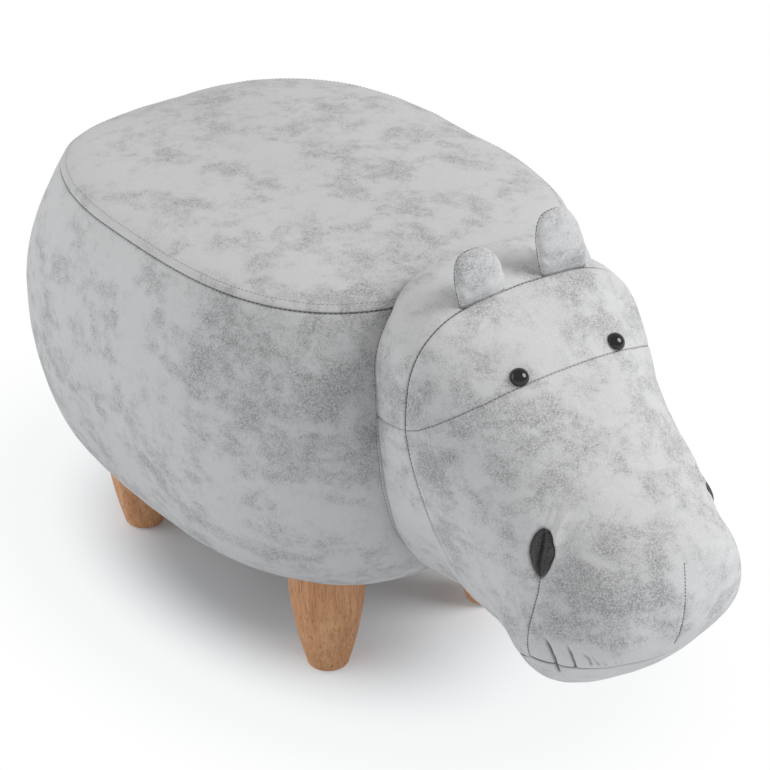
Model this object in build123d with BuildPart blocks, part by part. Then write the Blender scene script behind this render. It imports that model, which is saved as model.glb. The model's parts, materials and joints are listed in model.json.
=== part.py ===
from build123d import *
from math import atan2, cos, hypot, pi, sin, sqrt
import os

# Hippo footstool, millimetres. +Z is up and the animal faces -Y, so its left side is +X.
# The origin is on the floor, at the centre of the whole footprint.

# Whole object
total_length = 666.0

# Body, as half lengths along Y and half widths along X at three levels
widest_half_length = 230.0
widest_half_width = 186.0
seam_half_length = 201.0
seam_half_width = 157.0
base_half_length = 165.5
base_half_width = 122.0
base_level = 90.0
widest_level = 231.0
seat_seam_level = 330.0
seat_crown_rise = 17.0
body_centre_y = total_length / 2 - widest_half_length

# Cover and pads
cover_thickness = 2.0
seam_gap = 0.3
filling_gap = 0.8
hem_width = 24.0
cloth_thickness = 0.8
cloth_inset = 6.0

# Wooden box inside
base_board_thickness = 15.0
base_board_inset = 1.0
box_half_width = 95.0
box_half_length = 112.0
box_top_level = 282.0
panel_thickness = 12.0
block_side = 30.0
box_corner_radius = 6.0

# Wood screws
screw_radius = 2.2
screw_head_radius = 4.5
screw_head_height = 3.0
screw_length = 45.0
screw_clearance = 0.1

# Legs
leg_inside_box = 19.0
leg_past_box = 17.0
leg_setback = 6.0
leg_top_radius = 30.0
leg_waist_radius = 26.2
leg_foot_radius = 15.0
leg_foot_rounding = 3.5
bolt_radius = 4.0
bolt_length = 62.0
bolt_in_leg = 40.0
bolt_clearance = 0.1
nut_flange_radius = 9.5
nut_flange_thickness = 1.4
nut_barrel_radius = 5.2
nut_barrel_length = 9.0
glide_radius = 9.0
glide_proud = 1.2
glide_pin_radius = 1.2
glide_pin_length = 12.0

# Head
head_tip_y = -total_length / 2
head_root_in_body = 65.0
head_length = total_length - 2 * widest_half_length + head_root_in_body
head_root_y = head_tip_y + head_length
chin_level = 91.0
head_height = 271.0
head_half_width = 103.0

# Eyes
eye_spacing = 85.0
eye_radius = 6.8
eye_dome_depth = 5.2
eye_rounding_share = 0.8
eye_shank_radius = 2.4
eye_shank_length = 15.0
eye_forward_lean = 38.7
eye_outward_lean = 12.8
washer_radius = 8.5
washer_thickness = 1.5
washer_gap = 1.0

# Nostrils
nostril_spacing = 153.0
nostril_length = 33.0
nostril_width = 19.0
nostril_forward_turn = 27.2
nostril_upward_tilt = 24.7
nostril_reach = 14.0

# Ears
ear_spacing = 72.0
ear_width = 39.0
ear_rise = 45.0
ear_root = 26.0
ear_thickness = 13.0
ear_setback = 5.0
ear_edge_rounding = 5.0
ear_wall = 1.6

# Overrun of cutting shapes past what they cut
overrun = 20.0

# Roundness of an oval quarter: cap, side and corner radii, as shares of its half sizes
body_round_shares = (4.5, 3.3, 0.775)
head_upper_shares = (2.2, 2.4, 0.78)
head_lower_shares = (1.6, 1.5, 0.66)

# Seat crown: share of the outline that is left, share of the rise
crown_shares = ((1.0, 0.0), (0.94, 0.46), (0.8, 0.79), (0.5, 1.0))

# Body side: share of the way from the seat seam to the widest level, and of the quarter turn below
upper_side_shares = (0.0, 0.35, 0.7, 1.0)
lower_side_shares = (0.33, 0.6, 0.8, 1.0)

# Leaf outline of a nostril: places of its arcs as shares of the width and the length
nostril_tip_share = (0.0, -0.5)
nostril_side_share = (0.47, -0.04)
nostril_shoulder_share = (0.34, 0.36)
nostril_top_share = (0.0, 0.5)

# Ear outline: width at the root and height of the shoulders, as shares
ear_root_share = 0.94
ear_shoulder_share = 0.62

# Corners of the head's seams on its side view, and the middles of an eye and a nostril:
# share of the head's length forward of its root, share of its height above the chin
crown_seam_shares = (0.332, 0.668)
eye_seam_top_shares = (0.5185, 0.79)
collar_seam_shares = (0.1475, 0.62)
mouth_corner_shares = (0.775, 0.199)
mouth_front_shares = (0.9115, 0.183)
throat_shares = (0.38, 0.015)
eye_shares = (0.5148, 0.8173)
nostril_shares = (0.7565, 0.4834)

# Head stations, root to tip: share of the length forward, then the top, widest level and
# bottom as shares of the height above the chin, then the share of the half width
head_shares = (
    (0.000, 0.867, 0.587, 0.125, 0.835),
    (0.066, 0.945, 0.609, 0.081, 0.874),
    (0.162, 0.996, 0.638, 0.048, 0.913),
    (0.332, 0.974, 0.668, 0.055, 0.995),
    (0.424, 0.906, 0.605, 0.026, 0.961),
    (0.517, 0.836, 0.528, 0.007, 0.900),
    (0.646, 0.730, 0.391, 0.000, 0.864),
    (0.756, 0.642, 0.280, 0.022, 0.845),
    (0.838, 0.576, 0.265, 0.070, 0.775),
    (0.911, 0.517, 0.298, 0.129, 0.670),
    (0.970, 0.458, 0.324, 0.203, 0.470),
    (1.000, 0.385, 0.325, 0.262, 0.190),
)

os.makedirs("parts", exist_ok=True)


def save(piece, name):
    """Label a finished piece and write its file."""
    piece.part.label = name
    export_step(piece.part, "parts/" + name + ".step")


def head_place(shares):
    """Y and level of a place on the head's side view."""
    forward, up = shares
    return (head_root_y - head_length * forward, chin_level + head_height * up)


def quarter_joints(half_width, half_height, shares):
    """Points of one oval quarter: cap middle, corner start, middle and end, side arc middle and end."""
    cap_share, side_share, corner_share = shares
    cap_radius = cap_share * half_width
    side_radius = side_share * half_height
    corner_radius = corner_share * min(half_width, half_height)
    cap_centre = (0, half_height - cap_radius)
    side_centre = (half_width - side_radius, 0)
    cap_reach = cap_radius - corner_radius
    side_reach = side_radius - corner_radius
    across = (side_centre[0] - cap_centre[0], side_centre[1] - cap_centre[1])
    distance = hypot(*across)
    along = (cap_reach**2 - side_reach**2 + distance**2) / (2 * distance)
    rise = sqrt(cap_reach**2 - along**2)
    unit = (across[0] / distance, across[1] / distance)
    corner = (
        cap_centre[0] + unit[0] * along - unit[1] * rise,
        cap_centre[1] + unit[1] * along + unit[0] * rise,
    )
    if corner[0] + corner[1] < 0:
        corner = (
            cap_centre[0] + unit[0] * along + unit[1] * rise,
            cap_centre[1] + unit[1] * along - unit[0] * rise,
        )
    cap_angle = atan2(corner[0] - cap_centre[0], corner[1] - cap_centre[1])
    side_angle = atan2(corner[0] - side_centre[0], corner[1] - side_centre[1])
    middle_angle = (cap_angle + side_angle) / 2

    def on_arc(centre, radius, angle):
        return (centre[0] + radius * sin(angle), centre[1] + radius * cos(angle))

    return (
        (0, half_height),
        on_arc(cap_centre, cap_radius, cap_angle),
        on_arc(corner, corner_radius, middle_angle),
        on_arc(corner, corner_radius, side_angle),
        on_arc(side_centre, side_radius, (side_angle + pi / 2) / 2),
        (half_width, 0),
    )


def oval(plane, centre, half_width, upper_height, lower_height, upper_shares, lower_shares):
    """Face of a closed oval of tangent arcs round a point on the plane's upright axis."""
    with BuildSketch(plane) as outline:
        with BuildLine():
            for height, shares, up in ((upper_height, upper_shares, 1), (lower_height, lower_shares, -1)):
                joints = quarter_joints(half_width, height, shares)
                right = [(x, centre + up * y) for x, y in joints]
                left = [(-x, centre + up * y) for x, y in joints]
                ThreePointArc(left[1], left[0], right[1])
                for places in (right, left):
                    ThreePointArc(places[1], places[2], places[3])
                    ThreePointArc(places[3], places[4], places[5])
        make_face()
    return outline.sketch


def body_oval(level, half_length, half_width):
    """Body outline at one level."""
    return oval(
        Plane.XY.offset(level),
        body_centre_y,
        half_width,
        half_length,
        half_length,
        body_round_shares,
        body_round_shares,
    )


def side_place(share, lower, inset):
    """Level and outward offset from the seat seam outline of one place down the body's side."""
    bulge = widest_half_length - seam_half_length
    tuck = widest_half_length - base_half_length
    if lower:
        turn = share * pi / 2
        drop = widest_level - base_level
        normal = (cos(turn) / tuck, -sin(turn) / drop)
        level = widest_level - drop * sin(turn)
        offset = bulge - tuck * (1 - cos(turn))
    else:
        drop = seat_seam_level - widest_level
        normal = (drop, bulge * pi / 2 * cos(share * pi / 2))
        level = seat_seam_level - drop * share
        offset = bulge * sin(share * pi / 2)
    size = hypot(*normal)
    if not lower and share == 0:
        return level, offset - inset * size / normal[0]
    return level - inset * normal[1] / size, offset - inset * normal[0] / size


def side_form(inset):
    """Solid inside the body's side, from the seat seam down to the base."""
    bulge = widest_half_length - seam_half_length
    swell = (widest_half_width - seam_half_width) / bulge
    taper = (widest_half_width - base_half_width) / (widest_half_length - base_half_length)
    sections = []
    for share in upper_side_shares:
        level, offset = side_place(share, False, inset)
        sections.append(body_oval(level, seam_half_length + offset, seam_half_width + offset * swell))
    for share in lower_side_shares:
        level, offset = side_place(share, True, inset)
        wide = widest_half_width + (offset - bulge) * taper
        sections.append(body_oval(level, seam_half_length + offset, wide))
    with BuildPart() as form:
        loft(sections=sections)
    return form.part


def crown_form(inset):
    """Solid under the crowned seat, standing on the seat seam."""
    edge_offset = side_place(0, False, inset)[1]
    swell = (widest_half_width - seam_half_width) / (widest_half_length - seam_half_length)
    sections = []
    for outline_share, rise_share in crown_shares:
        rise = seat_crown_rise * rise_share - (inset if rise_share > 0 else 0)
        length = seam_half_length * outline_share + edge_offset
        width = seam_half_width * outline_share + edge_offset * swell
        sections.append(body_oval(seat_seam_level + rise, length, width))
    with BuildPart() as form:
        loft(sections=sections)
    return form.part


def head_form(inset):
    """Solid inside the head, from its hidden root to the muzzle tip."""
    sections = []
    for forward, top, widest, bottom, width in head_shares:
        middle = chin_level + head_height * widest
        sections.append(
            oval(
                Plane.XZ.offset((head_length - inset) * forward - head_root_y),
                middle,
                head_half_width * width - inset,
                chin_level + head_height * top - inset - middle,
                middle - chin_level - head_height * bottom - inset,
                head_upper_shares,
                head_lower_shares,
            )
        )
    with BuildPart() as form:
        loft(sections=sections)
    return form.part


def round_bar(plane, radius, start, end):
    """Round bar along a plane's normal, between two distances from it."""
    with BuildPart() as bar:
        with BuildSketch(plane.offset(start)):
            Circle(radius)
        extrude(amount=end - start)
    return bar.part


def screw_form(plane, extra):
    """Countersunk wood screw standing on its head, or its hole where extra is a clearance."""
    with BuildPart() as form:
        with BuildSketch(plane):
            Circle(screw_head_radius + extra)
        with BuildSketch(plane.offset(screw_head_height)):
            Circle(screw_radius + extra)
        loft()
        with BuildSketch(plane.offset(screw_head_height)):
            Circle(screw_radius + extra)
        extrude(amount=screw_length - screw_head_height + extra)
    return form.part


def side_region(corners):
    """Prism across the whole width over a polygon drawn on the side view."""
    with BuildPart() as region:
        with BuildSketch(Plane.YZ):
            with BuildLine():
                Polyline(*corners, close=True)
            make_face()
        extrude(amount=head_half_width + overrun, both=True)
    return region.part


def eye_plane(side):
    """Plane on the head's surface at an eye, its normal pointing out of the head."""
    lean = eye_forward_lean * pi / 180
    forward = atan2(sin(lean) * head_height, cos(lean) * head_length)
    outward = eye_outward_lean * pi / 180
    normal = (side * sin(outward), -cos(outward) * sin(forward), cos(outward) * cos(forward))
    return Plane(origin=(side * eye_spacing / 2, *head_place(eye_shares)), x_dir=(1, 0, 0), z_dir=normal)


def nostril_plane(side):
    """Plane on the muzzle's side at a nostril, with the leaf's length up its own Y."""
    forward = nostril_forward_turn * pi / 180
    upward = nostril_upward_tilt * pi / 180
    normal = Vector(side * cos(forward) * cos(upward), -sin(forward) * cos(upward), sin(upward))
    return Plane(
        origin=(side * nostril_spacing / 2, *head_place(nostril_shares)),
        x_dir=Vector(0, 0, 1).cross(normal),
        z_dir=normal,
    )


def nostril_prism(side, extra):
    """Leaf-shaped prism through the muzzle skin, widened all round by extra."""
    def place(share, mirrored):
        return (mirrored * share[0] * nostril_width, share[1] * nostril_length)

    with BuildPart() as prism:
        with BuildSketch(nostril_plane(side)):
            with BuildLine():
                for half in (1, -1):
                    ThreePointArc(
                        place(nostril_tip_share, half),
                        place(nostril_side_share, half),
                        place(nostril_shoulder_share, half),
                    )
                ThreePointArc(
                    place(nostril_shoulder_share, 1),
                    place(nostril_top_share, 1),
                    place(nostril_shoulder_share, -1),
                )
            make_face()
            if extra > 0:
                offset(amount=extra, kind=Kind.INTERSECTION)
        extrude(amount=nostril_reach, both=True)
    return prism.part


def ear_form(side, inset):
    """Rounded tab of an ear with its root hidden in the head, drawn in by inset."""
    half_width = ear_width / 2 - inset
    root_width = half_width * ear_root_share
    root_level = crown_top - ear_root + inset
    shoulder_level = crown_top + ear_rise * ear_shoulder_share
    top_level = crown_top + ear_rise - inset
    middle = side * ear_spacing / 2
    with BuildPart() as form:
        with BuildSketch(Plane.XZ.offset(-crown_seam_y - ear_setback)):
            with BuildLine():
                Polyline(
                    (middle - half_width, shoulder_level),
                    (middle - root_width, root_level),
                    (middle + root_width, root_level),
                    (middle + half_width, shoulder_level),
                )
                ThreePointArc(
                    (middle + half_width, shoulder_level),
                    (middle, top_level),
                    (middle - half_width, shoulder_level),
                )
            make_face()
        extrude(amount=ear_thickness / 2 - inset, both=True)
        faces_apart = form.faces().filter_by(Axis.Y)
        fillet(faces_apart.edges(), radius=ear_edge_rounding - inset)
    return form.part


# Places that several pieces share
board_bottom = base_level + cover_thickness
board_top = board_bottom + base_board_thickness
top_board_bottom = box_top_level - panel_thickness
leg_top_level = base_level - cloth_thickness
bolt_bottom = leg_top_level - bolt_in_leg
bolt_top = bolt_bottom + bolt_length
crown_top = chin_level + head_height * head_shares[3][1]
crown_seam_y, crown_joint_level = head_place(crown_seam_shares)
leg_x = box_half_width - leg_inside_box
leg_front_y = body_centre_y + leg_setback - box_half_length - leg_past_box
leg_rear_y = body_centre_y + leg_setback + box_half_length + leg_past_box
leg_places = {
    "front_left": (leg_x, leg_front_y),
    "front_right": (-leg_x, leg_front_y),
    "rear_left": (leg_x, leg_rear_y),
    "rear_right": (-leg_x, leg_rear_y),
}
block_centre_x = box_half_width - panel_thickness - block_side / 2
block_centre_y = box_half_length - panel_thickness - block_side / 2
block_places = [
    (across * block_centre_x, body_centre_y + along * block_centre_y)
    for across in (1, -1)
    for along in (1, -1)
]

# Forms that several pieces share
pad_inset = cover_thickness + filling_gap
pad_side_form = side_form(pad_inset)
body_gap_form = side_form(-seam_gap) + crown_form(-seam_gap)
head_gap_form = head_form(-seam_gap)
head_skin_form = head_form(0) - head_form(cover_thickness)
base_screw_planes = [Plane.XY.offset(board_bottom).move(Location((x, y, 0))) for x, y in block_places]
top_screw_planes = [
    Plane(origin=(x, y, box_top_level), x_dir=(1, 0, 0), z_dir=(0, 0, -1)) for x, y in block_places
]

# Body skins
with BuildPart() as side_cover:
    add(side_form(0))
    add(side_form(cover_thickness), mode=Mode.SUBTRACT)
    with BuildSketch(Plane.XY.offset(base_level)):
        add(body_oval(0, base_half_length - hem_width, base_half_width - hem_width))
        with Locations(*leg_places.values()):
            Circle(bolt_radius + bolt_clearance)
    extrude(amount=cover_thickness, mode=Mode.SUBTRACT)
save(side_cover, "side_cover")

with BuildPart() as seat_cover:
    add(crown_form(0))
    add(crown_form(cover_thickness), mode=Mode.SUBTRACT)
save(seat_cover, "seat_cover")

with BuildPart() as base_cloth:
    with BuildSketch(Plane.XY.offset(leg_top_level)):
        add(body_oval(0, base_half_length - cloth_inset, base_half_width - cloth_inset))
        with Locations(*leg_places.values()):
            Circle(bolt_radius + bolt_clearance, mode=Mode.SUBTRACT)
    extrude(amount=cloth_thickness)
save(base_cloth, "base_cloth")

# Foam pads round and over the wooden box
with BuildPart() as seat_foam:
    add(pad_side_form)
    add(crown_form(pad_inset))
    split(bisect_by=Plane.XY.offset(box_top_level), keep=Keep.TOP)
save(seat_foam, "seat_foam")


def nut_pocket():
    """Space that the tee nuts and the bolt ends need above the base board."""
    with BuildPart() as pocket:
        with BuildSketch(Plane.XY.offset(board_top)):
            with Locations(*leg_places.values()):
                Circle(nut_flange_radius + seam_gap)
        extrude(amount=bolt_top - board_top + seam_gap)
    return pocket.part


for name, side in (("side_foam_left", 1), ("side_foam_right", -1)):
    with BuildPart() as side_foam:
        add(pad_side_form)
        split(bisect_by=Plane.XY.offset(board_top), keep=Keep.TOP)
        split(bisect_by=Plane.XY.offset(box_top_level), keep=Keep.BOTTOM)
        split(
            bisect_by=Plane(origin=(side * box_half_width, 0, 0), z_dir=(side, 0, 0)), keep=Keep.TOP
        )
        add(nut_pocket(), mode=Mode.SUBTRACT)
    save(side_foam, name)

for name, side in (("front_foam", -1), ("rear_foam", 1)):
    with BuildPart() as end_foam:
        add(pad_side_form)
        split(bisect_by=Plane.XY.offset(board_top), keep=Keep.TOP)
        split(bisect_by=Plane.XY.offset(box_top_level), keep=Keep.BOTTOM)
        for across in (1, -1):
            split(
                bisect_by=Plane(origin=(across * box_half_width, 0, 0), z_dir=(-across, 0, 0)),
                keep=Keep.TOP,
            )
        split(
            bisect_by=Plane(
                origin=(0, body_centre_y + side * box_half_length, 0), z_dir=(0, side, 0)
            ),
            keep=Keep.TOP,
        )
        add(nut_pocket(), mode=Mode.SUBTRACT)
    save(end_foam, name)

# Wooden box
with BuildPart() as base_board:
    with BuildSketch(Plane.XY.offset(board_bottom)):
        add(body_oval(0, base_half_length - base_board_inset, base_half_width - base_board_inset))
        with Locations(*leg_places.values()):
            Circle(bolt_radius + bolt_clearance, mode=Mode.SUBTRACT)
    extrude(amount=base_board_thickness)
    with BuildSketch(Plane.XY.offset(board_top)):
        with Locations(*leg_places.values()):
            Circle(nut_barrel_radius + bolt_clearance)
    extrude(amount=-(nut_barrel_length + bolt_clearance), mode=Mode.SUBTRACT)
    for plane in base_screw_planes:
        add(screw_form(plane, screw_clearance), mode=Mode.SUBTRACT)
save(base_board, "base_board")

with BuildPart() as top_board:
    with BuildSketch(Plane.XY.offset(top_board_bottom)):
        with Locations((0, body_centre_y)):
            RectangleRounded(2 * box_half_width, 2 * box_half_length, box_corner_radius)
    extrude(amount=panel_thickness)
    for plane in top_screw_planes:
        add(screw_form(plane, screw_clearance), mode=Mode.SUBTRACT)
save(top_board, "top_board")

for name, side in (("side_panel_left", 1), ("side_panel_right", -1)):
    with BuildPart() as side_panel:
        with BuildSketch(Plane.XY.offset(board_top)):
            with Locations((side * (box_half_width - panel_thickness / 2), body_centre_y)):
                Rectangle(panel_thickness, 2 * box_half_length)
        extrude(amount=top_board_bottom - board_top)
    save(side_panel, name)

for name, side in (("front_panel", -1), ("rear_panel", 1)):
    with BuildPart() as end_panel:
        with BuildSketch(Plane.XY.offset(board_top)):
            with Locations((0, body_centre_y + side * (box_half_length - panel_thickness / 2))):
                Rectangle(2 * (box_half_width - panel_thickness), panel_thickness)
        extrude(amount=top_board_bottom - board_top)
    save(end_panel, name)

with BuildPart() as corner_blocks:
    with BuildSketch(Plane.XY.offset(board_top)):
        with Locations(*block_places):
            Rectangle(block_side, block_side)
    extrude(amount=top_board_bottom - board_top)
    for plane in base_screw_planes + top_screw_planes:
        add(screw_form(plane, screw_clearance), mode=Mode.SUBTRACT)
save(corner_blocks, "corner_blocks")

for name, planes in (("base_screws", base_screw_planes), ("top_screws", top_screw_planes)):
    with BuildPart() as screws:
        for plane in planes:
            add(screw_form(plane, 0))
    save(screws, name)

# Legs and their fixings
for name, (x, y) in leg_places.items():
    with BuildPart() as leg:
        with BuildSketch(Plane.XZ.offset(-y)):
            with BuildLine():
                shoulder = (x + leg_foot_radius, glide_proud + leg_foot_rounding)
                Polyline(
                    (x + leg_top_radius, leg_top_level),
                    (x, leg_top_level),
                    (x, glide_proud),
                    (x + leg_foot_radius - leg_foot_rounding, glide_proud),
                )
                RadiusArc(
                    (x + leg_foot_radius - leg_foot_rounding, glide_proud), shoulder, -leg_foot_rounding
                )
                ThreePointArc(
                    shoulder,
                    (x + leg_waist_radius, (glide_proud + leg_top_level) / 2),
                    (x + leg_top_radius, leg_top_level),
                )
            make_face()
        revolve(axis=Axis((x, y, 0), (0, 0, 1)))
        upright = Plane(origin=(x, y, 0))
        add(
            round_bar(upright, bolt_radius + bolt_clearance, bolt_bottom - bolt_clearance, leg_top_level),
            mode=Mode.SUBTRACT,
        )
        add(
            round_bar(
                upright,
                glide_pin_radius + bolt_clearance,
                glide_proud,
                glide_proud + glide_pin_length + bolt_clearance,
            ),
            mode=Mode.SUBTRACT,
        )
    save(leg, "leg_" + name)

with BuildPart() as hanger_bolts:
    for x, y in leg_places.values():
        add(round_bar(Plane(origin=(x, y, 0)), bolt_radius, bolt_bottom, bolt_top))
save(hanger_bolts, "hanger_bolts")

with BuildPart() as tee_nuts:
    for x, y in leg_places.values():
        upright = Plane(origin=(x, y, 0))
        add(round_bar(upright, nut_flange_radius, board_top, board_top + nut_flange_thickness))
        add(round_bar(upright, nut_barrel_radius, board_top - nut_barrel_length, board_top))
        add(
            round_bar(
                upright,
                bolt_radius + bolt_clearance,
                board_top - nut_barrel_length,
                board_top + nut_flange_thickness,
            ),
            mode=Mode.SUBTRACT,
        )
save(tee_nuts, "tee_nuts")

with BuildPart() as leg_glides:
    for x, y in leg_places.values():
        upright = Plane(origin=(x, y, 0))
        add(round_bar(upright, glide_radius, 0, glide_proud))
        add(round_bar(upright, glide_pin_radius, glide_proud, glide_proud + glide_pin_length))
save(leg_glides, "leg_glides")

# Head panels, cut from one skin along the seams of the side view
far_y = head_tip_y - overrun
back_y = head_root_y + overrun
above = chin_level + head_height + ear_rise + overrun
below = chin_level - overrun
side_joint = (crown_seam_y, crown_joint_level)
eye_seam_top = head_place(eye_seam_top_shares)
mouth_corner = head_place(mouth_corner_shares)
throat = head_place(throat_shares)
collar_joint = head_place(collar_seam_shares)


def run_on(start, end, y):
    """The place at a given y on the line from start through end."""
    return (y, start[1] + (end[1] - start[1]) * (y - start[0]) / (end[0] - start[0]))


eye_seam_end = run_on(side_joint, eye_seam_top, 2 * eye_seam_top[0] - crown_seam_y)
mouth_front = run_on(mouth_corner, head_place(mouth_front_shares), far_y)
collar_back = run_on(side_joint, collar_joint, back_y)

panel_corners = {
    "forehead_panel": [side_joint, eye_seam_end, (eye_seam_end[0], above), (crown_seam_y, above)],
    "muzzle_panel": [
        side_joint,
        (crown_seam_y, throat[1]),
        throat,
        mouth_corner,
        mouth_front,
        (far_y, above),
        (eye_seam_end[0], above),
        eye_seam_end,
    ],
    "chin_panel": [
        (crown_seam_y, throat[1]),
        (crown_seam_y, below),
        (far_y, below),
        mouth_front,
        mouth_corner,
        throat,
    ],
    "band_upper": [side_joint, (crown_seam_y, above), (back_y, above), collar_back, collar_joint],
    "band_lower": [side_joint, collar_joint, collar_back, (back_y, below), (crown_seam_y, below)],
}

for name, corners in panel_corners.items():
    with BuildPart() as panel:
        add(head_skin_form)
        add(side_region(corners), mode=Mode.INTERSECT)
        if name == "muzzle_panel":
            for side in (1, -1):
                add(nostril_prism(side, seam_gap), mode=Mode.SUBTRACT)
        if name in ("forehead_panel", "muzzle_panel"):
            for side in (1, -1):
                add(
                    round_bar(
                        eye_plane(side),
                        eye_shank_radius + bolt_clearance,
                        -eye_shank_length,
                        eye_dome_depth,
                    ),
                    mode=Mode.SUBTRACT,
                )
        add(body_gap_form, mode=Mode.SUBTRACT)
    save(panel, name)

with BuildPart() as head_stuffing:
    add(head_form(pad_inset))
    add(body_gap_form, mode=Mode.SUBTRACT)
    for side in (1, -1):
        add(
            round_bar(eye_plane(side), washer_radius + seam_gap, -eye_shank_length - seam_gap, eye_radius),
            mode=Mode.SUBTRACT,
        )
save(head_stuffing, "head_stuffing")

# Eyes, with the washers that lock them behind the skin
for name, side in (("eye_left", 1), ("eye_right", -1)):
    with BuildPart() as eye:
        with BuildSketch(eye_plane(side)):
            Circle(eye_radius)
        extrude(amount=eye_dome_depth)
        fillet(eye.faces().sort_by(Axis.Z)[-1].edges(), radius=eye_dome_depth * eye_rounding_share)
        add(head_gap_form, mode=Mode.SUBTRACT)
        add(round_bar(eye_plane(side), eye_shank_radius, -eye_shank_length, eye_dome_depth / 2))
    save(eye, name)

washer_top = -cover_thickness - washer_gap
with BuildPart() as eye_washers:
    for side in (1, -1):
        plane = eye_plane(side)
        add(round_bar(plane, washer_radius, washer_top - washer_thickness, washer_top))
        add(
            round_bar(
                plane,
                eye_shank_radius + bolt_clearance,
                washer_top - washer_thickness,
                washer_top,
            ),
            mode=Mode.SUBTRACT,
        )
save(eye_washers, "eye_washers")

# Nostrils, set into the muzzle skin
for name, side in (("nostril_left", 1), ("nostril_right", -1)):
    with BuildPart() as nostril:
        add(head_skin_form)
        add(nostril_prism(side, 0), mode=Mode.INTERSECT)
    save(nostril, name)

# Ears, standing on the crown seam
for name, side in (("ear_left", 1), ("ear_right", -1)):
    with BuildPart() as ear:
        add(ear_form(side, 0))
        add(ear_form(side, ear_wall), mode=Mode.SUBTRACT)
        add(head_gap_form, mode=Mode.SUBTRACT)
    save(ear, name)

with BuildPart() as ear_fillings:
    for side in (1, -1):
        add(ear_form(side, ear_wall + seam_gap))
    add(head_gap_form, mode=Mode.SUBTRACT)
save(ear_fillings, "ear_fillings")
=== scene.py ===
import bpy
import bmesh
import json
import math
from mathutils import Matrix, Vector, noise

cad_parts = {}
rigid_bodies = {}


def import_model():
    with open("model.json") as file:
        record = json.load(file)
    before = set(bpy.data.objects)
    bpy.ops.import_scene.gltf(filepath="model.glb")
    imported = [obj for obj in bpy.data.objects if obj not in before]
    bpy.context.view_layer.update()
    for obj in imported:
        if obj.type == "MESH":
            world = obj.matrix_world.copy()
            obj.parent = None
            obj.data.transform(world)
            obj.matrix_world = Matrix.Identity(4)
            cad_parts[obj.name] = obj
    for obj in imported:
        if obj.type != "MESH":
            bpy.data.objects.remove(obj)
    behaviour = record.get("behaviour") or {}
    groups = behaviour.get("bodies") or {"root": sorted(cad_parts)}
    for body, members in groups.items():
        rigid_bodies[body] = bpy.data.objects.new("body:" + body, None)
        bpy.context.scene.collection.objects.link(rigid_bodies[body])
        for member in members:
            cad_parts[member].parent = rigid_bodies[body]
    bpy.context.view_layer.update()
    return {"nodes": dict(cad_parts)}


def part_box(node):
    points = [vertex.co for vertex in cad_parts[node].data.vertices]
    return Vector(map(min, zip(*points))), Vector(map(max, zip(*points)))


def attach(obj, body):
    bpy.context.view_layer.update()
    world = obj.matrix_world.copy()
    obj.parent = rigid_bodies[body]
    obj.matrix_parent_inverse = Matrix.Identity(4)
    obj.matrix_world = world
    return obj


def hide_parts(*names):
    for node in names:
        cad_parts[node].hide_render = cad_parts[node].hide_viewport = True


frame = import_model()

mm = 0.001
scene = bpy.context.scene
nodes = frame["nodes"]


def selectNone():
    if bpy.context.object and bpy.context.object.mode != "OBJECT":
        bpy.ops.object.mode_set(mode="OBJECT")
    bpy.ops.object.select_all(action="DESELECT")


def workOn(piece):
    selectNone()
    piece.select_set(True)
    bpy.context.view_layer.objects.active = piece


def named(name):
    piece = bpy.context.object
    piece.name = name
    piece.data.name = name
    return piece


def settle(piece):
    # the place goes into the mesh and the object stays at the origin
    workOn(piece)
    bpy.ops.object.transform_apply(location=True, rotation=True, scale=True)


def smooth(piece, angle=50):
    workOn(piece)
    bpy.ops.object.shade_smooth_by_angle(angle=math.radians(angle))


def selectFaces(piece, chosen):
    # edit mode, with the faces that a rule chooses
    if bpy.context.object != piece or piece.mode != "EDIT":
        workOn(piece)
        bpy.ops.object.mode_set(mode="EDIT")
    bpy.ops.mesh.select_mode(type="FACE")
    bpy.ops.mesh.select_all(action="DESELECT")
    clay = bmesh.from_edit_mesh(piece.data)
    count = 0
    for face in clay.faces:
        if chosen(face):
            face.select_set(True)
            count += 1
    bmesh.update_edit_mesh(piece.data)
    return count


def selectPart(piece, chooses):
    # the same, by the middle of each face in millimetres
    return selectFaces(piece, lambda face: chooses(face.calc_center_median() / mm))


def leaveEdit():
    bpy.ops.object.mode_set(mode="OBJECT")


def newSphere(name, around, rings, radius=1, rotation=(0, 0, 0)):
    selectNone()
    bpy.ops.mesh.primitive_uv_sphere_add(segments=around, ring_count=rings, radius=radius, rotation=rotation)
    return named(name)


def faceOut(piece, joined=False):
    # all faces of a closed form look outwards
    workOn(piece)
    bpy.ops.object.mode_set(mode="EDIT")
    bpy.ops.mesh.select_all(action="SELECT")
    if joined:
        bpy.ops.mesh.remove_doubles(threshold=0.00001)
    bpy.ops.mesh.normals_make_consistent(inside=False)
    leaveEdit()


def cutAcross(spot, facing):
    # a cut through the chosen faces, for a row of points beside a seam
    bpy.ops.mesh.bisect(plane_co=[c * mm for c in spot], plane_no=facing, use_fill=False, threshold=0.00001)


def markFaces(piece, markOf):
    # each face is marked with the panel it will belong to, by its middle in millimetres
    for face in piece.data.polygons:
        face.material_index = markOf(face.center / mm)


def cutOff(piece, mark, name):
    # the faces with one mark become a piece of their own
    before = set(bpy.data.objects)
    count = selectFaces(piece, lambda face: face.material_index == mark)
    if count:
        bpy.ops.mesh.separate(type="SELECTED")
    leaveEdit()
    if not count:
        return None
    fresh = [o for o in bpy.data.objects if o not in before][0]
    fresh.name = name
    fresh.data.name = name
    return fresh


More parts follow.
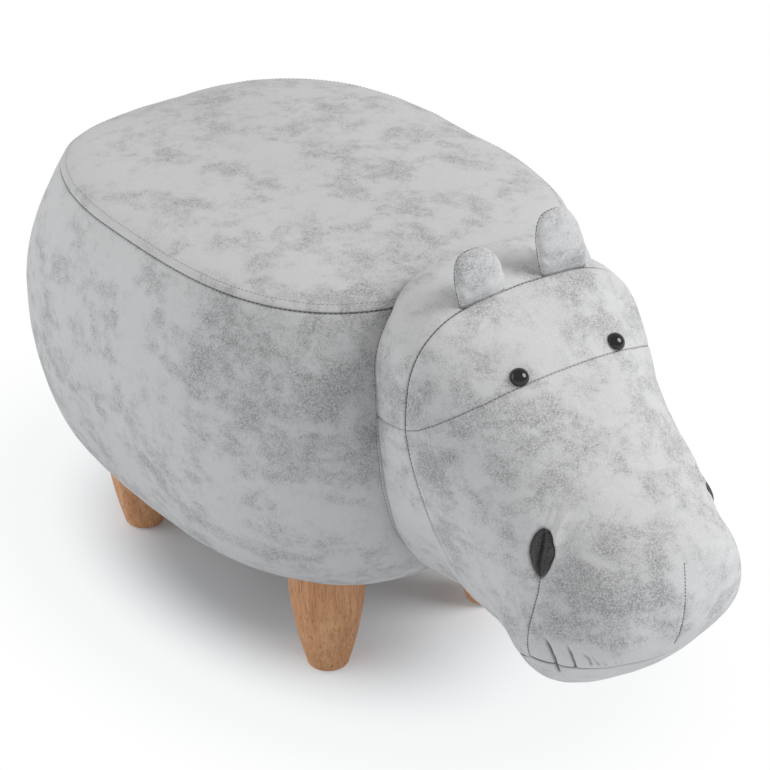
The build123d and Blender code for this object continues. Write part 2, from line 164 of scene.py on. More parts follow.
def easeTable(rows, column):
    # smooth run through a table's column, without overshoot
    xs = [row[0] for row in rows]
    ys = [row[column] for row in rows]
    steps = [xs[i + 1] - xs[i] for i in range(len(xs) - 1)]
    slopes = [(ys[i + 1] - ys[i]) / steps[i] for i in range(len(steps))]
    bends = [slopes[0]]
    for i in range(1, len(slopes)):
        before, after = slopes[i - 1], slopes[i]
        if before * after <= 0:
            bends.append(0.0)
        else:
            heavy, light = 2 * steps[i] + steps[i - 1], steps[i] + 2 * steps[i - 1]
            bends.append((heavy + light) / (heavy / before + light / after))
    bends.append(slopes[-1])

    def at(x):
        x = min(max(x, xs[0]), xs[-1])
        i = 0
        while i < len(steps) - 1 and x > xs[i + 1]:
            i += 1
        t = (x - xs[i]) / steps[i]
        return (
            ys[i] * (1 + 2 * t) * (1 - t) ** 2
            + bends[i] * steps[i] * t * (1 - t) ** 2
            + ys[i + 1] * t * t * (3 - 2 * t)
            + bends[i + 1] * steps[i] * t * t * (t - 1)
        )

    return at


def roundReach(angle, across, up, power):
    # distance from the middle of a rounded oval to its edge
    ratio = (abs(math.cos(angle)) / across) ** power + (abs(math.sin(angle)) / up) ** power
    return ratio ** (-1 / power)


def bump(away, reach):
    return math.exp(-((away / reach) ** 2))


def lineNear(p, points):
    # distance from a place to a line of points, and how many points along it that is
    nearest, place = 1e9, 0
    for i, (start, end) in enumerate(zip(points, points[1:])):
        along = end - start
        share = min(max((p - start).dot(along) / along.length_squared, 0), 1)
        away = (p - start - along * share).length
        if away < nearest:
            nearest, place = away, i + share
    return nearest, place
def bumps(away, *pairs):
    # rounded bumps over a distance, each with its strength and reach
    return sum(strength * bump(away, reach) for strength, reach in pairs)


def waves(p, layers):
    # uneven filling: height, size and offset of each layer
    return sum(height * noise.noise(p / size + Vector(offset)) for height, size, offset in layers)


def turned(first, second, degrees):
    # two directions turned in their own plane
    c, s = math.cos(math.radians(degrees)), math.sin(math.radians(degrees))
    return first * c + second * s, second * c - first * s


def narrowed(low, high, steps, below):
    # a span halved again and again about the place where a rule stops holding
    for _ in range(steps):
        middle = (low + high) / 2
        low, high = (middle, high) if below(middle) else (low, middle)
    return low, high


# Camera, at the photograph's angle

cameraPlan = {
    "azimuth": -36.3, "elevation": 28.9, "roll": -0.3, "distance": 2.320, "aim": (0.0, 0.0089, 0.2031),
    "sensor": 36, "lens": 36 * 3101 / 770, "farthest": 50,
}


def makeCamera():
    turn, rise = math.radians(cameraPlan["azimuth"]), math.radians(cameraPlan["elevation"])
    back = Vector((math.sin(turn) * math.cos(rise), -math.cos(turn) * math.cos(rise), math.sin(rise)))
    right = Vector((math.cos(turn), math.sin(turn), 0))
    right, up = turned(right, back.cross(right), cameraPlan["roll"])
    lens = bpy.data.cameras.new("camera")
    lens.sensor_width = cameraPlan["sensor"]
    lens.lens = cameraPlan["lens"]
    lens.clip_end = cameraPlan["farthest"]
    camera = bpy.data.objects.new("camera", lens)
    scene.collection.objects.link(camera)
    spot = Vector(cameraPlan["aim"]) + back * cameraPlan["distance"]
    camera.matrix_world = Matrix.Translation(spot) @ Matrix((right, up, back)).transposed().to_4x4()
    scene.camera = camera


makeCamera()
print("camera placed")


# Shader boards: an expression on a Wire adds its Math nodes

class Wire:
    def __init__(self, board, socket):
        self.board = board
        self.socket = socket

    def work(self, operation, other):
        return self.board.node("Math", {"operation": operation}, {0: self, 1: other})

    def __add__(self, other):
        return self.work("ADD", other)

    __radd__ = __add__

    def __sub__(self, other):
        return self.work("SUBTRACT", other)

    def __rsub__(self, other):
        return self.board.node("Math", {"operation": "SUBTRACT"}, {0: other, 1: self})

    def __mul__(self, other):
        return self.work("MULTIPLY", other)

    def __truediv__(self, other):
        return self.work("DIVIDE", other)

    def __pow__(self, other):
        return self.work("POWER", other)

    def step(self, low, high):
        # 0 below low, 1 above high, eased between
        values = {"Value": self, "From Min": low, "From Max": high}
        return self.board.node("MapRange", {"interpolation_type": "SMOOTHSTEP"}, values)


class Board:
    def __init__(self, name, kind="materials"):
        self.owner = getattr(bpy.data, kind).new(name)
        self.owner.use_nodes = True
        self.tree = self.owner.node_tree
        self.tree.nodes.clear()

    def node(self, kind, settings=None, values=None, output=0):
        made = self.tree.nodes.new("ShaderNode" + kind)
        for name, setting in (settings or {}).items():
            setattr(made, name, setting)
        for name, value in (values or {}).items():
            if isinstance(value, Wire):
                self.tree.links.new(value.socket, made.inputs[name])
            else:
                made.inputs[name].default_value = value
        return Wire(self, made.outputs[output]) if len(made.outputs) else None

    def place(self, turn=(0, 0, 0), scale=(1, 1, 1)):
        # the object's coordinates, turned and stretched
        values = {"Vector": self.node("TexCoord", output="Object"), "Scale": scale}
        values["Rotation"] = [math.radians(a) for a in turn]
        return self.node("Mapping", {"vector_type": "POINT"}, values)

    def noise(self, where, scale, detail=2.0, rough=0.5, warp=0.0):
        values = {"Vector": where, "Scale": scale, "Detail": detail, "Roughness": rough, "Distortion": warp}
        return self.node("TexNoise", {"noise_dimensions": "3D"}, values, "Fac")

    def cells(self, where, scale, feature="F1"):
        return self.node("TexVoronoi", {"feature": feature}, {"Vector": where, "Scale": scale}, "Distance")

    def kept(self, name):
        # a number kept on the points of the mesh
        return self.node("Attribute", {"attribute_type": "GEOMETRY", "attribute_name": name}, output="Fac")

    def mix(self, share, first, second):
        # the colour mixer's own inputs are 6 and 7, and its output is 2
        first, second = ((*c, 1) if isinstance(c, tuple) else c for c in (first, second))
        return self.node("Mix", {"data_type": "RGBA"}, {0: share, 6: first, 7: second}, 2)

    def finish(self, colour, rough, height, depth, strength, others=None):
        # principled surface, with a bump
        relief = self.node("Bump", None, {"Height": height, "Distance": depth, "Strength": strength})
        values = {"Base Color": colour, "Roughness": rough, "Normal": relief, **(others or {})}
        self.node("OutputMaterial", None, {"Surface": self.node("BsdfPrincipled", None, values)})
        return self.owner


def makeSuede():
    # pale grey nap: soft darker patches, each a haze of fine specks, crackle and short crossed scratches
    board = Board("suede")
    plain = board.place()
    brushed = board.place((10, 0, 24), (1, 1, 1.35))
    patches = board.noise(brushed, 26, 3, 0.55, 0.3) * 0.6 + board.noise(brushed, 72, 3, 0.6, 0.2) * 0.4
    strokes = board.noise(board.place((0, 52, 0), (1, 1, 6)), 330, 2, 0.6)
    crossed = board.noise(board.place((44, 0, 30), (1, 6, 1)), 330, 2, 0.6)
    specks = board.noise(plain, 720, 3, 0.65).step(0.40, 0.60)
    crackle = 1 - board.cells(plain, 480, "DISTANCE_TO_EDGE").step(0.02, 0.18)
    mottle = board.noise(plain, 170, 3, 0.6)
    # nap marks: rubbed patches, and painted shade and painted light
    marks = board.kept("rubbedAndPaintedShading")
    dark = (patches + (mottle - 0.5) * 0.18 + marks * 0.07).step(0.43, 0.65)
    scratches = strokes.step(0.48, 0.62) * 0.5 + crossed.step(0.48, 0.62) * 0.5
    grit = specks * 0.45 + scratches * 0.3 + crackle * 0.25
    shade = dark * (0.05 + grit * 0.9) + grit * 0.2 + (patches - 0.5) * 0.25 + marks * 0.14
    nap = board.mix(shade.step(-0.35, 1.35), (0.675, 0.675, 0.675), (0.27, 0.27, 0.273))
    # painted shade: the kept "shadow" darkens the nap towards near black in seams, folds, nostril rims, at
    # the ear's base and where head and body meet
    colour = board.mix(board.kept("shadow") * 0.86, nap, (0.06, 0.06, 0.061))
    wrinkles = board.noise(plain, 120, 2, 0.5) * 0.6 + specks * 0.08
    wrinkles = wrinkles + strokes * 0.14 + crossed * 0.14 - crackle * 0.1
    rough = 0.78 + dark * 0.1 + specks * 0.05
    sheen = {"Sheen Weight": 0.12, "Sheen Roughness": 0.5, "Specular IOR Level": 0.3}
    return board.finish(colour, rough, wrinkles, 0.0009, 0.6, sheen)


def makeThread(name, low, high):
    board = Board(name)
    twist = board.noise(board.place(scale=(1, 1, 3)), 2400, 1)
    return board.finish(board.mix(twist, low, high), 0.62 + twist * 0.2, twist, 0.0002, 0.5)


def makeWood():
    # straight grain up the leg: broad bands, long streaks and short dark pores
    board = Board("oak")
    bands = board.noise(board.place((2, 3, 0), (1, 1, 0.05)), 70, 2, 0.5, 0.4)
    streaks = board.noise(board.place((2, 3, 0), (1, 1, 0.035)), 420, 3, 0.6)
    pores = board.noise(board.place((2, 3, 0), (1, 1, 0.045)), 1300, 1, 0.5).step(0.60, 0.70)
    warm = board.mix(bands.step(0.3, 0.7), (0.61, 0.295, 0.135), (0.76, 0.42, 0.215))
    grained = board.mix(streaks.step(0.38, 0.68) * 0.5, warm, (0.46, 0.215, 0.095))
    colour = board.mix(pores * 0.6, grained, (0.20, 0.08, 0.034))
    rough = 0.5 + pores * 0.25 + streaks * 0.1
    return board.finish(colour, rough, streaks * 0.4 - pores * 0.8, 0.0004, 0.6, {"Specular IOR Level": 0.4})


def makeEyeGloss():
    board = Board("eyeGloss")
    haze = board.noise(board.place(), 900, 1)
    colour = board.mix(haze, (0.003, 0.003, 0.003), (0.007, 0.007, 0.008))
    return board.finish(colour, 0.06 + haze * 0.05, haze, 0.00004, 0.2, {"Specular IOR Level": 0.6})


def makeNostrilLeather():
    board = Board("nostrilLeather")
    pebbles = board.cells(board.place(), 1100)
    dust = board.noise(board.place(scale=(1, 1, 4)), 420, 3, 0.6)
    colour = board.mix(dust.step(0.35, 0.70), (0.020, 0.020, 0.021), (0.075, 0.075, 0.077))
    return board.finish(colour, 0.55 + dust * 0.25, pebbles, 0.0004, 0.5)


def makeDustCloth():
    # thin bonded cloth under the box, crossed by fine fibres
    board = Board("dustCloth")
    along, across = (board.noise(board.place(scale=scale), 300, 2) for scale in ((1, 8, 1), (8, 1, 1)))
    fibres = along + across
    colour = board.mix(fibres.step(0.8, 1.2), (0.018, 0.018, 0.019), (0.05, 0.05, 0.052))
    return board.finish(colour, 0.85 + fibres * 0.05, fibres, 0.0003, 0.6)


def makePlywood():
    board = Board("plywood")
    grain = board.noise(board.place(scale=(1, 0.06, 1)), 240, 3, 0.6, 0.3)
    flecks = board.noise(board.place(scale=(1, 0.12, 1)), 1100, 1).step(0.6, 0.72)
    warm = board.mix(grain.step(0.3, 0.7), (0.50, 0.34, 0.19), (0.63, 0.46, 0.28))
    colour = board.mix(flecks * 0.4, warm, (0.26, 0.15, 0.075))
    return board.finish(colour, 0.62 + grain * 0.15, grain, 0.0003, 0.5)


def makeMetal():
    board = Board("zincSteel")
    spangle = board.noise(board.place(), 500, 2)
    scuffs = board.noise(board.place(scale=(1, 1, 9)), 700, 2).step(0.55, 0.7)
    colour = board.mix(spangle, (0.50, 0.50, 0.50), (0.68, 0.68, 0.66))
    rough = 0.28 + scuffs * 0.2 + spangle * 0.1
    return board.finish(colour, rough, spangle, 0.0001, 0.3, {"Metallic": 1.0})


def makePlastic(name, low, high):
    board = Board(name)
    pits = board.noise(board.place(), 1500, 1)
    wear = board.noise(board.place(), 220, 3).step(0.5, 0.7)
    return board.finish(board.mix(wear, low, high), 0.42 + wear * 0.2, pits, 0.0001, 0.4)


suede = makeSuede()
thread = makeThread("thread", (0.03, 0.03, 0.032), (0.085, 0.085, 0.089))
paleThread = makeThread("paleThread", (0.25, 0.25, 0.255), (0.39, 0.39, 0.39))
wood, eyeGloss, nostrilLeather = makeWood(), makeEyeGloss(), makeNostrilLeather()
dustCloth, plywood, metal = makeDustCloth(), makePlywood(), makeMetal()
washerPlastic = makePlastic("washerPlastic", (0.60, 0.60, 0.58), (0.70, 0.70, 0.68))
glidePlastic = makePlastic("glidePlastic", (0.030, 0.030, 0.032), (0.06, 0.06, 0.062))


def dress(piece, material, slot, *replaced, fill=None):
    # material, body, and what the piece stands for
    piece.data.materials.clear()
    piece.data.materials.append(material)
    for face in piece.data.polygons:
        face.material_index = 0
    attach(piece, "root")
    if replaced:
        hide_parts(*replaced)


def thicken(piece, thickness):
    # the skin gets its thickness inwards
    workOn(piece)
    wall = piece.modifiers.new("wall", "SOLIDIFY")
    wall.thickness = thickness * mm
    wall.offset = -1
    wall.use_rim = True
    bpy.ops.object.modifier_apply(modifier=wall.name)
    smooth(piece)


print("materials ready")


# Body: seat panel and side panel, shaped as one and parted at the seat seam

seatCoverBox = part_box("seat_cover")
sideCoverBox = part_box("side_cover")
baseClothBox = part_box("base_cloth")
bodyPlan = {
    "centreY": (sideCoverBox[0][1] + sideCoverBox[1][1]) / 2 / mm,
    "seamLevel": seatCoverBox[0][2] / mm, "widestLevel": 231.0, "baseLevel": baseClothBox[1][2] / mm,
    "seam": (157.0, 201.0), "widest": (186.0, 230.0), "base": (122.0, 165.5),  # half width, half length
    "power": 2.82, "crownRise": 17.0, "crownPower": (4.0, 1.8), "around": 380, "skin": 1.6, "fill": 0.9,
    "rings": (40, 28, 60, 30),  # over the seat, to the widest level, to the base and under it
    "seatSteps": (0.05, 0.16, 0.36, 0.8, 1.6, 3.0, 5.0, 7.6, 10.8, 14.5),  # in from the seam
    "sideSteps": (0.5, 1.2, 2.2, 3.6, 5.4, 7.8, 10.6),  # down from the seam
    "waves": ((1.0, 60, (5.5, 1.7, 0.3)), (0.35, 18, (0, 0, 0))),
    "headDip": (1.5, 8.0), "waistDip": (1.6, 60), "flatUnder": 2.0, "flatShare": 0.2,
    "topStitchIn": 5.0,
}


def bodySide(level):
    # half width and half length below the seat seam
    seam, widest, base = bodyPlan["seam"], bodyPlan["widest"], bodyPlan["base"]
    if level >= bodyPlan["widestLevel"]:
        fall = (bodyPlan["seamLevel"] - level) / (bodyPlan["seamLevel"] - bodyPlan["widestLevel"])
        share = math.sin(min(max(fall, 0), 1) * math.pi / 2)
        return [s + (w - s) * share for s, w in zip(seam, widest)]
    fall = (bodyPlan["widestLevel"] - level) / (bodyPlan["widestLevel"] - bodyPlan["baseLevel"])
    share = math.sqrt(max(0, 1 - min(fall, 1) ** 2))
    return [b + (w - b) * share for b, w in zip(base, widest)]


def ovalRatio(p, halves):
    # how far out a place is in an oval of the body: 1 on its edge
    power = bodyPlan["power"]
    across, along = abs(p.x) / halves[0], abs(p.y - bodyPlan["centreY"]) / halves[1]
    return (across**power + along**power) ** (1 / power)


def ovalAway(p, halves):
    # about how far outside the oval that is
    return math.hypot(p.x, p.y - bodyPlan["centreY"]) * (1 - 1 / max(ovalRatio(p, halves), 0.05))


def crownRise(share):
    outer, inner = bodyPlan["crownPower"]
    return bodyPlan["crownRise"] * max(0, 1 - min(share, 1) ** outer) ** (1 / inner)


def bodyRings():
    # half sizes and level of each ring, from the middle of the seat to the middle of the base
    across, along = bodyPlan["seam"]
    seam, widest, base = bodyPlan["seamLevel"], bodyPlan["widestLevel"], bodyPlan["baseLevel"]
    seat, upper, lower, under = bodyPlan["rings"]
    edge = bodyPlan["seatSteps"][-1]
    rings = [((across - edge) * i / seat, (along - edge) * i / seat, None) for i in range(1, seat)]
    rings += [(across - step, along - step, None) for step in reversed(bodyPlan["seatSteps"])]
    levels = [seam] + [seam - step for step in bodyPlan["sideSteps"]]
    start = levels[-1]
    levels += [start + (widest - start) * i / upper for i in range(1, upper + 1)]
    levels += [widest - (widest - base) * math.sin(math.pi / 2 * i / lower) for i in range(1, lower + 1)]
    rings += [(*bodySide(level), level) for level in levels]
    across, along = bodyPlan["base"]
    return rings + [(across * (1 - i / under), along * (1 - i / under), base) for i in range(1, under)]


def bodyPlace(ring, angle):
    reach = roundReach(angle, ring[0], ring[1], bodyPlan["power"])
    p = Vector((reach * math.cos(angle), bodyPlan["centreY"] + reach * math.sin(angle), 0))
    p.z = ring[2] or bodyPlan["seamLevel"] + crownRise(ovalRatio(p, bodyPlan["seam"]))
    return p


def seatSeamAway(p):
    return math.hypot(ovalAway(p, bodyPlan["seam"]), p.z - bodyPlan["seamLevel"])


def bodyAway(p):
    # about how far a place is outside the body's surface
    seam, base = bodyPlan["seamLevel"], bodyPlan["baseLevel"]
    if p.z > seam:
        share = ovalRatio(p, bodyPlan["seam"])
        return p.z - seam - crownRise(share) if share < 1 else seatSeamAway(p)
    outside = ovalAway(p, bodySide(max(p.z, base)))
    return max(base - p.z, outside) if p.z < base else outside


# Head: shaped as one, then parted at its seams

headPlan = {
    "rootY": -62.0, "tipY": -333.0, "chin": 91.0, "height": 271.0, "halfWidth": 103.0,
    "around": 320, "rings": 210, "noseRings": 14, "noseRound": 2.5, "profileSteps": 800, "sideShare": 0.8,
    "skin": 1.5, "fill": 0.85, "hidden": -8.0, "nearSeam": 5.0, "nearLeaf": 1.9, "nearFold": 3.2,
    "waves": ((0.7, 34, (3.1, 0.7, 9.2)), (0.25, 12, (0, 0, 0))), "collarDips": ((2.0, 8.0), (0.9, 2.5)),
    "foldsFrom": -250.0, "foldStart": 0.15, "foldSpread": (0.22, 4),
}
# root to tip: way forward, top, widest level, bottom, half width, squareness above and below
headStations = (
    (0.000, 0.867, 0.587, 0.125, 0.835, 2.7, 2.2),
    (0.066, 0.945, 0.609, 0.081, 0.874, 2.7, 2.2),
    (0.162, 0.996, 0.638, 0.048, 0.913, 2.9, 2.1),
    (0.332, 0.974, 0.668, 0.055, 0.995, 3.05, 1.85),
    (0.424, 0.906, 0.605, 0.026, 0.961, 2.75, 1.85),
    (0.517, 0.836, 0.528, 0.007, 0.890, 2.4, 1.9),
    (0.646, 0.730, 0.391, 0.000, 0.845, 2.15, 2.1),
    (0.756, 0.642, 0.280, 0.022, 0.835, 2.15, 2.3),
    (0.838, 0.576, 0.265, 0.070, 0.765, 2.2, 2.3),
    (0.911, 0.517, 0.298, 0.129, 0.670, 2.3, 2.3),
    (0.970, 0.458, 0.324, 0.203, 0.470, 2.2, 2.2),
    (1.000, 0.385, 0.325, 0.262, 0.190, 2.1, 2.1),
)
# fullness at given places, on both sides: x, y, z, reach, millimetres out
headTouches = (
    (80, -262, 236, 20, 1.5),
    (88, -285, 200, 18, -4.0),
    (82, -252, 244, 13, 2.5),
    (82, -203, 268, 28, -2.6),
    (78, -86, 328, 28, -4.0),
    (52, -312, 120, 30, -3.2),
    (93, -92, 242, 30, 4.5),
    (94, -98, 200, 30, 6.0),
    (84, -108, 160, 30, 5.0),
    (68, -120, 130, 26, 3.0),
    (58, -152, 118, 30, 4.0),
    (90, -268, 158, 30, 4.0),
    (60, -318, 165, 26, 2.0),
    (0, -240, 285, 40, -1.5),
)
# corners of the head's seams on its side view: y, z
sideCorners = {
    "crown": (-152.0, 272.0), "crownTop": (-152.0, 420.0), "crownFoot": (-190.0, 90.0),
    "eyeLow": (-165.0, 277.2), "eyeBend": (-177.0, 285.0), "eyeRise": (-189.0, 294.2),
    "eyeCrest": (-199.0, 303.6), "eyeTop": (-226.0, 338.0),
    "collar": (-102.0, 259.0), "collarBack": (-40.0, 243.0),
    "mouthCorner": (-272.0, 144.9), "mouthFront": (-346.0, 136.3), "throat": (-187.0, 105.2),
}
# how deep each seam is drawn in, and its corners
headSeams = {
    "crownLow": (0.9, "crownFoot", "crown"),
    "crownHigh": (1.0, "crown", "crownTop"),
    "eyeLine": (0.55, "crown", "eyeLow", "eyeBend", "eyeRise", "eyeCrest", "eyeTop"),
    "bandLine": (0.7, "collarBack", "collar", "crown"),
    "mouthLine": (0.9, "mouthFront", "mouthCorner"),
    "chinLine": (0.6, "mouthCorner", "throat"),
}
seamRows = (0.0, 0.5, -0.5, 1.2, -1.2, 2.6, -2.6)
seamDips = ((1.3, 0.7), (0.4, 2.6), (0.6, 12.0))  # millimetres deep, and their reach
# folds in the muzzle: depth, reach, points
folds = {
    "noseDart": (
        0.7, 0.8, (3, -333, 218), (-1.8, -336, 197), (-3.8, -335, 182), (-5.5, -334, 168), (-5, -329, 152),
    ),
    "cheekSeam": (
        0.7, 0.8, (80, -272, 206), (84, -273, 195), (86.5, -273, 182), (86.5, -272, 170), (83.5, -271, 145),
    ),
    "pleatA": (
        2.6, 1.0, (82, -284, 165), (81, -287, 158), (78.6, -289, 150), (76.5, -288, 142), (75.5, -286, 132),
    ),
    "pleatB": (1.9, 0.85, (75.5, -299, 165), (73, -301, 157), (70.8, -301, 149), (69.5, -299, 141)),
    "pleatC": (1.4, 0.8, (69, -308, 161), (67, -310, 155), (65.5, -309, 147)),
    "pleatD": (1.2, 0.8, (63.5, -312, 159), (61, -312, 147)),
    "gatherA": (0.8, 0.9, (57.2, -315, 154), (55, -314, 146)),
    "gatherB": (0.7, 0.9, (50, -318, 154), (48.5, -317, 146)),
    "gatherC": (0.6, 0.9, (44, -320, 153), (42.5, -318, 146)),
    "noseCrease": (1.0, 3.2, (53, -277, 241), (62, -277, 232), (68, -277, 225)),
    "noseRidge": (-1.5, 2.4, (55, -268, 250), (63, -270, 240), (69, -272, 231)),
    "fanA": (0.6, 1.3, (62, -258, 256), (67, -260, 246), (72, -262, 236)),
    "fanB": (0.6, 1.3, (54, -261, 258), (61, -264, 247), (68, -266, 237)),
}
sewnFolds = ("noseDart", "cheekSeam")
# where the nap is rubbed darker or left clear, and where shade and light are painted on (the chin lighter
# though it lies in shade, the body beside the collar darker under the head's shade); x, y, z, reach,
# strength
napAndShadingMarks = (
    (-128, -66, 306, 40, 0.65), (-118, -88, 285, 38, 0.65), (-112, -103, 250, 36, 1.0),
    (-144, -75, 252, 34, 0.7), (-155, -20, 303, 36, 0.7), (-171, -15, 262, 34, 0.5),
    (-96, -93, 304, 28, 0.8), (-79, -172, 317, 26, 1.0), (-73, -188, 307, 24, 1.0),
    (-95, -178, 282, 26, 1.0), (-98, -176, 251, 28, 0.8), (-69, -237, 262, 26, 0.7),
    (16, -162, 348, 26, 0.9), (-48, -188, 321, 22, 0.7), (16, -229, 295, 26, 0.5),
    (-9, -324, 215, 32, 1.0), (-49, -299, 226, 26, 0.8), (-68, -297, 204, 28, 0.9),
    (-35, -324, 206, 28, 0.7), (-80, -286, 164, 26, 1.0), (-112, 255, 337, 60, -0.8),
    (-151, 200, 327, 50, -0.4), (-165, 123, 312, 45, -0.5), (-158, 78, 327, 40, -0.6),
    (-180, 174, 262, 60, -0.25), (-105, -108, 225, 24, 0.6), (-90, -130, 202, 28, -1.2),
    (-98, -136, 241, 24, -0.8), (8, -133, 358, 26, -1.0), (-47, -130, 354, 22, -0.9),
    (-56, -310, 134, 28, -1.8), (-21, -312, 125, 36, -1.8),
)
headRuns = [easeTable(headStations, column) for column in range(1, 7)]
headCache = {}


def headSection(y):
    # top, widest level, bottom, half width and squareness of the head at one y
    key = round(y, 2)
    if key not in headCache:
        forward = (headPlan["rootY"] - y) / (headPlan["rootY"] - headPlan["tipY"])
        *levels, width, upper, lower = (run(forward) for run in headRuns)
        levels = [headPlan["chin"] + headPlan["height"] * level for level in levels]
        headCache[key] = (*levels, headPlan["halfWidth"] * width, upper, lower)
    return headCache[key]


def headPlace(angle, y, share=1.0):
    top, middle, bottom, width, upper, lower = headSection(y)
    up, power = (top - middle, upper) if math.sin(angle) >= 0 else (middle - bottom, lower)
    reach = share * roundReach(angle, width, up, power)
    return Vector((reach * math.cos(angle), y, middle + reach * math.sin(angle)))


def headRatio(p):
    # how far out a place is in the head's section: 1 on its edge
    y = min(max(p.y, headPlan["tipY"]), headPlan["rootY"])
    top, middle, bottom, width, upper, lower = headSection(y)
    reach, power = (top - middle, upper) if p.z >= middle else (middle - bottom, lower)
    ratio = ((abs(p.x) / width) ** power + (abs(p.z - middle) / reach) ** power) ** (1 / power)
    return max(ratio, 0.05), middle


def headAway(p):
    # about how far a place is outside the head
    ratio, middle = headRatio(p)
    return max(math.hypot(p.x, p.z - middle) * (1 - 1 / ratio), headPlan["tipY"] - p.y)


def seamPoints(name):
    return [Vector(sideCorners[corner]) for corner in headSeams[name][1:]]


def stretchAway(p, start, end):
    # distance on the side view from a place to one stretch of a seam
    along = end - start
    off = Vector((p.y, p.z)) - start
    return (off - along * min(max(off.dot(along) / along.length_squared, 0), 1)).length


def nearSeams(p, rule):
    # the strongest of a rule's values over the seams' distances on the side view
    return max(weight * rule(stretchAway(p, start, end)) for start, end, weight in seamStretches)


def seamLevel(name, y):
    # height of a seam on the side view, run on past its ends
    points = sorted(seamPoints(name), key=lambda point: point.x)
    i = 0
    while i < len(points) - 2 and y > points[i + 1].x:
        i += 1
    start, end = points[i], points[i + 1]
    return start.y + (end.y - start.y) * (y - start.x) / (end.x - start.x)


def seamDip(away):
    return sum(depth * math.exp(-((away / reach) ** 1.6)) for depth, reach in seamDips)


def bothSides(points):
    # a fold off the middle has its twin on the other side
    if points[0][0] < 10:
        return [[Vector(point) for point in points]]
    laid = []
    for point in points:
        p = Vector(point)
        ratio, middle = headRatio(p)
        laid.append(Vector((p.x / ratio, p.y, middle + (p.z - middle) / ratio)))
    return [laid, [Vector((-p.x, p.y, p.z)) for p in laid]]


seamStretches = [
    (start, end, headSeams[name][0])
    for name in headSeams for start, end in zip(seamPoints(name), seamPoints(name)[1:])
]
foldLines = [(line, depth, reach) for depth, reach, *points in folds.values() for line in bothSides(points)]
nostrilPlan = {
    "place": (75.0, -268.0, 221.5), "facing": (0.808, -0.415, 0.418), "roll": -6.0,
    "around": 96, "rings": 48,
    "length": 33.0, "width": 19.0, "swell": 2.5, "back": 2.0, "sunk": 0.9, "fold": 2.9, "foldReach": 1.5,
    "reach": 34.0, "farRatio": 9.0, "mostBend": 6.0,
    "oval": 0.47, "slimFrom": -0.05, "slimming": 0.30,  # the leaf as an oval, slimmer towards its tip
    "dips": ((3.0, 1.04, 22), (1.8, 0.85, 16)),  # depth, share of the leaf and steepness
}
# leaf outline: share of the width, share of the length
nostrilLeaf = (
    (0.0, -0.5), (0.25, -0.33), (0.47, -0.04), (0.46, 0.2), (0.34, 0.36), (0.16, 0.47), (0.0, 0.5),
)
# strength and reach of the painted shade in the seams, folds, rims and where the head meets the body, and
# where it starts and ends
shadePlan = {
    "seams": (0.5, 0.7), "seatSeam": (0.22, 0.6), "underHead": (0.12, 20), "collar": (0.55, 1.6),
    "mouth": 0.95, "mouthEnd": 64.0, "mouthFade": 18.0,
    "foldFull": 2.2, "foldPower": 1.5, "foldStart": 0.3, "foldReach": 0.95, "foldWidest": 1.25,
    "rim": 0.65, "rimIn": 0.2, "rimOut": 0.05,
}


def nostrilFrame(side):
    # middle, across and along of the nostril's leaf
    facing = Vector(nostrilPlan["facing"]).normalized()
    along = (Vector((0, 0, 1)) - facing * facing.z).normalized()
    across, along = turned(along.cross(facing), along, nostrilPlan["roll"])
    flip = Vector((side, 1, 1))
    return Vector(nostrilPlan["place"]) * flip, across * flip, along * flip, facing * flip


def leafHalf(along):
    # half width of the leaf at a share of its length
    for (w0, h0), (w1, h1) in zip(nostrilLeaf, nostrilLeaf[1:]):
        if h0 <= along <= h1:
            t = (along - h0) / (h1 - h0)
            return (w0 + (w1 - w0) * t) * nostrilPlan["width"]
    return 0.0


def leafRatio(p):
    # how far out of the nearer nostril's leaf a place is: 1 on its edge
    ratio = nostrilPlan["farRatio"]
    for side in (1, -1):
        centre, across, along, facing = nostrilFrame(side)
        off = p - centre
        if off.length <= nostrilPlan["reach"]:
            v = off.dot(along) / nostrilPlan["length"]
            slim = nostrilPlan["oval"] - nostrilPlan["slimming"] * max(nostrilPlan["slimFrom"] - v, 0)
            ratio = min(ratio, math.hypot(off.dot(across) / (nostrilPlan["width"] * slim), v * 2))
    return ratio


def headSwell(p):
    # how far the head's cloth stands out or in at a place of its plain form
    result = waves(p, headPlan["waves"]) - nearSeams(p, seamDip)
    for x, y, z, reach, push in headTouches:
        for side in ((1, -1) if x else (1,)):
            result += push * bump((p - Vector((x * side, y, z))).length, reach)
    if p.y < headPlan["foldsFrom"]:
        share, spread = headPlan["foldSpread"]
        for line, depth, reach in foldLines:
            away, place = lineNear(p, line)
            depth *= min(1, headPlan["foldStart"] + place)
            result -= bumps(away, (depth, reach), (share * depth, spread * reach))
        ratio = leafRatio(p)
        for depth, edge, steep in nostrilPlan["dips"]:
            result -= depth / (1 + math.exp((ratio - edge) * steep))
    return result - bumps(max(bodyAway(p), 0), *headPlan["collarDips"])


def headShadow(p):
    # painted shade: how dark the cloth is painted in a seam, fold or rim, and where the head meets the body
    plan = shadePlan
    shades = [nearSeams(p, lambda away: bumps(away, plan["seams"])), bumps(bodyAway(p), plan["collar"])]
    if p.y < headPlan["foldsFrom"]:
        mouth = bump(stretchAway(p, *seamPoints("mouthLine")), plan["mouth"])
        shades.append(mouth * bump(max(plan["mouthEnd"] - abs(p.x), 0), plan["mouthFade"]))
        for line, depth, reach in foldLines:
            if reach < plan["foldWidest"]:
                away, place = lineNear(p, line)
                dark = min(depth / plan["foldFull"], 1) ** plan["foldPower"]
                dark *= min(1, plan["foldStart"] + place)
                shades.append(dark * bump(away, reach * plan["foldReach"]))
        off = leafRatio(p) - 1
        shades.append(plan["rim"] * bump(min(off, 0), plan["rimIn"]) * bump(max(off, 0), plan["rimOut"]))
    return max(shades)


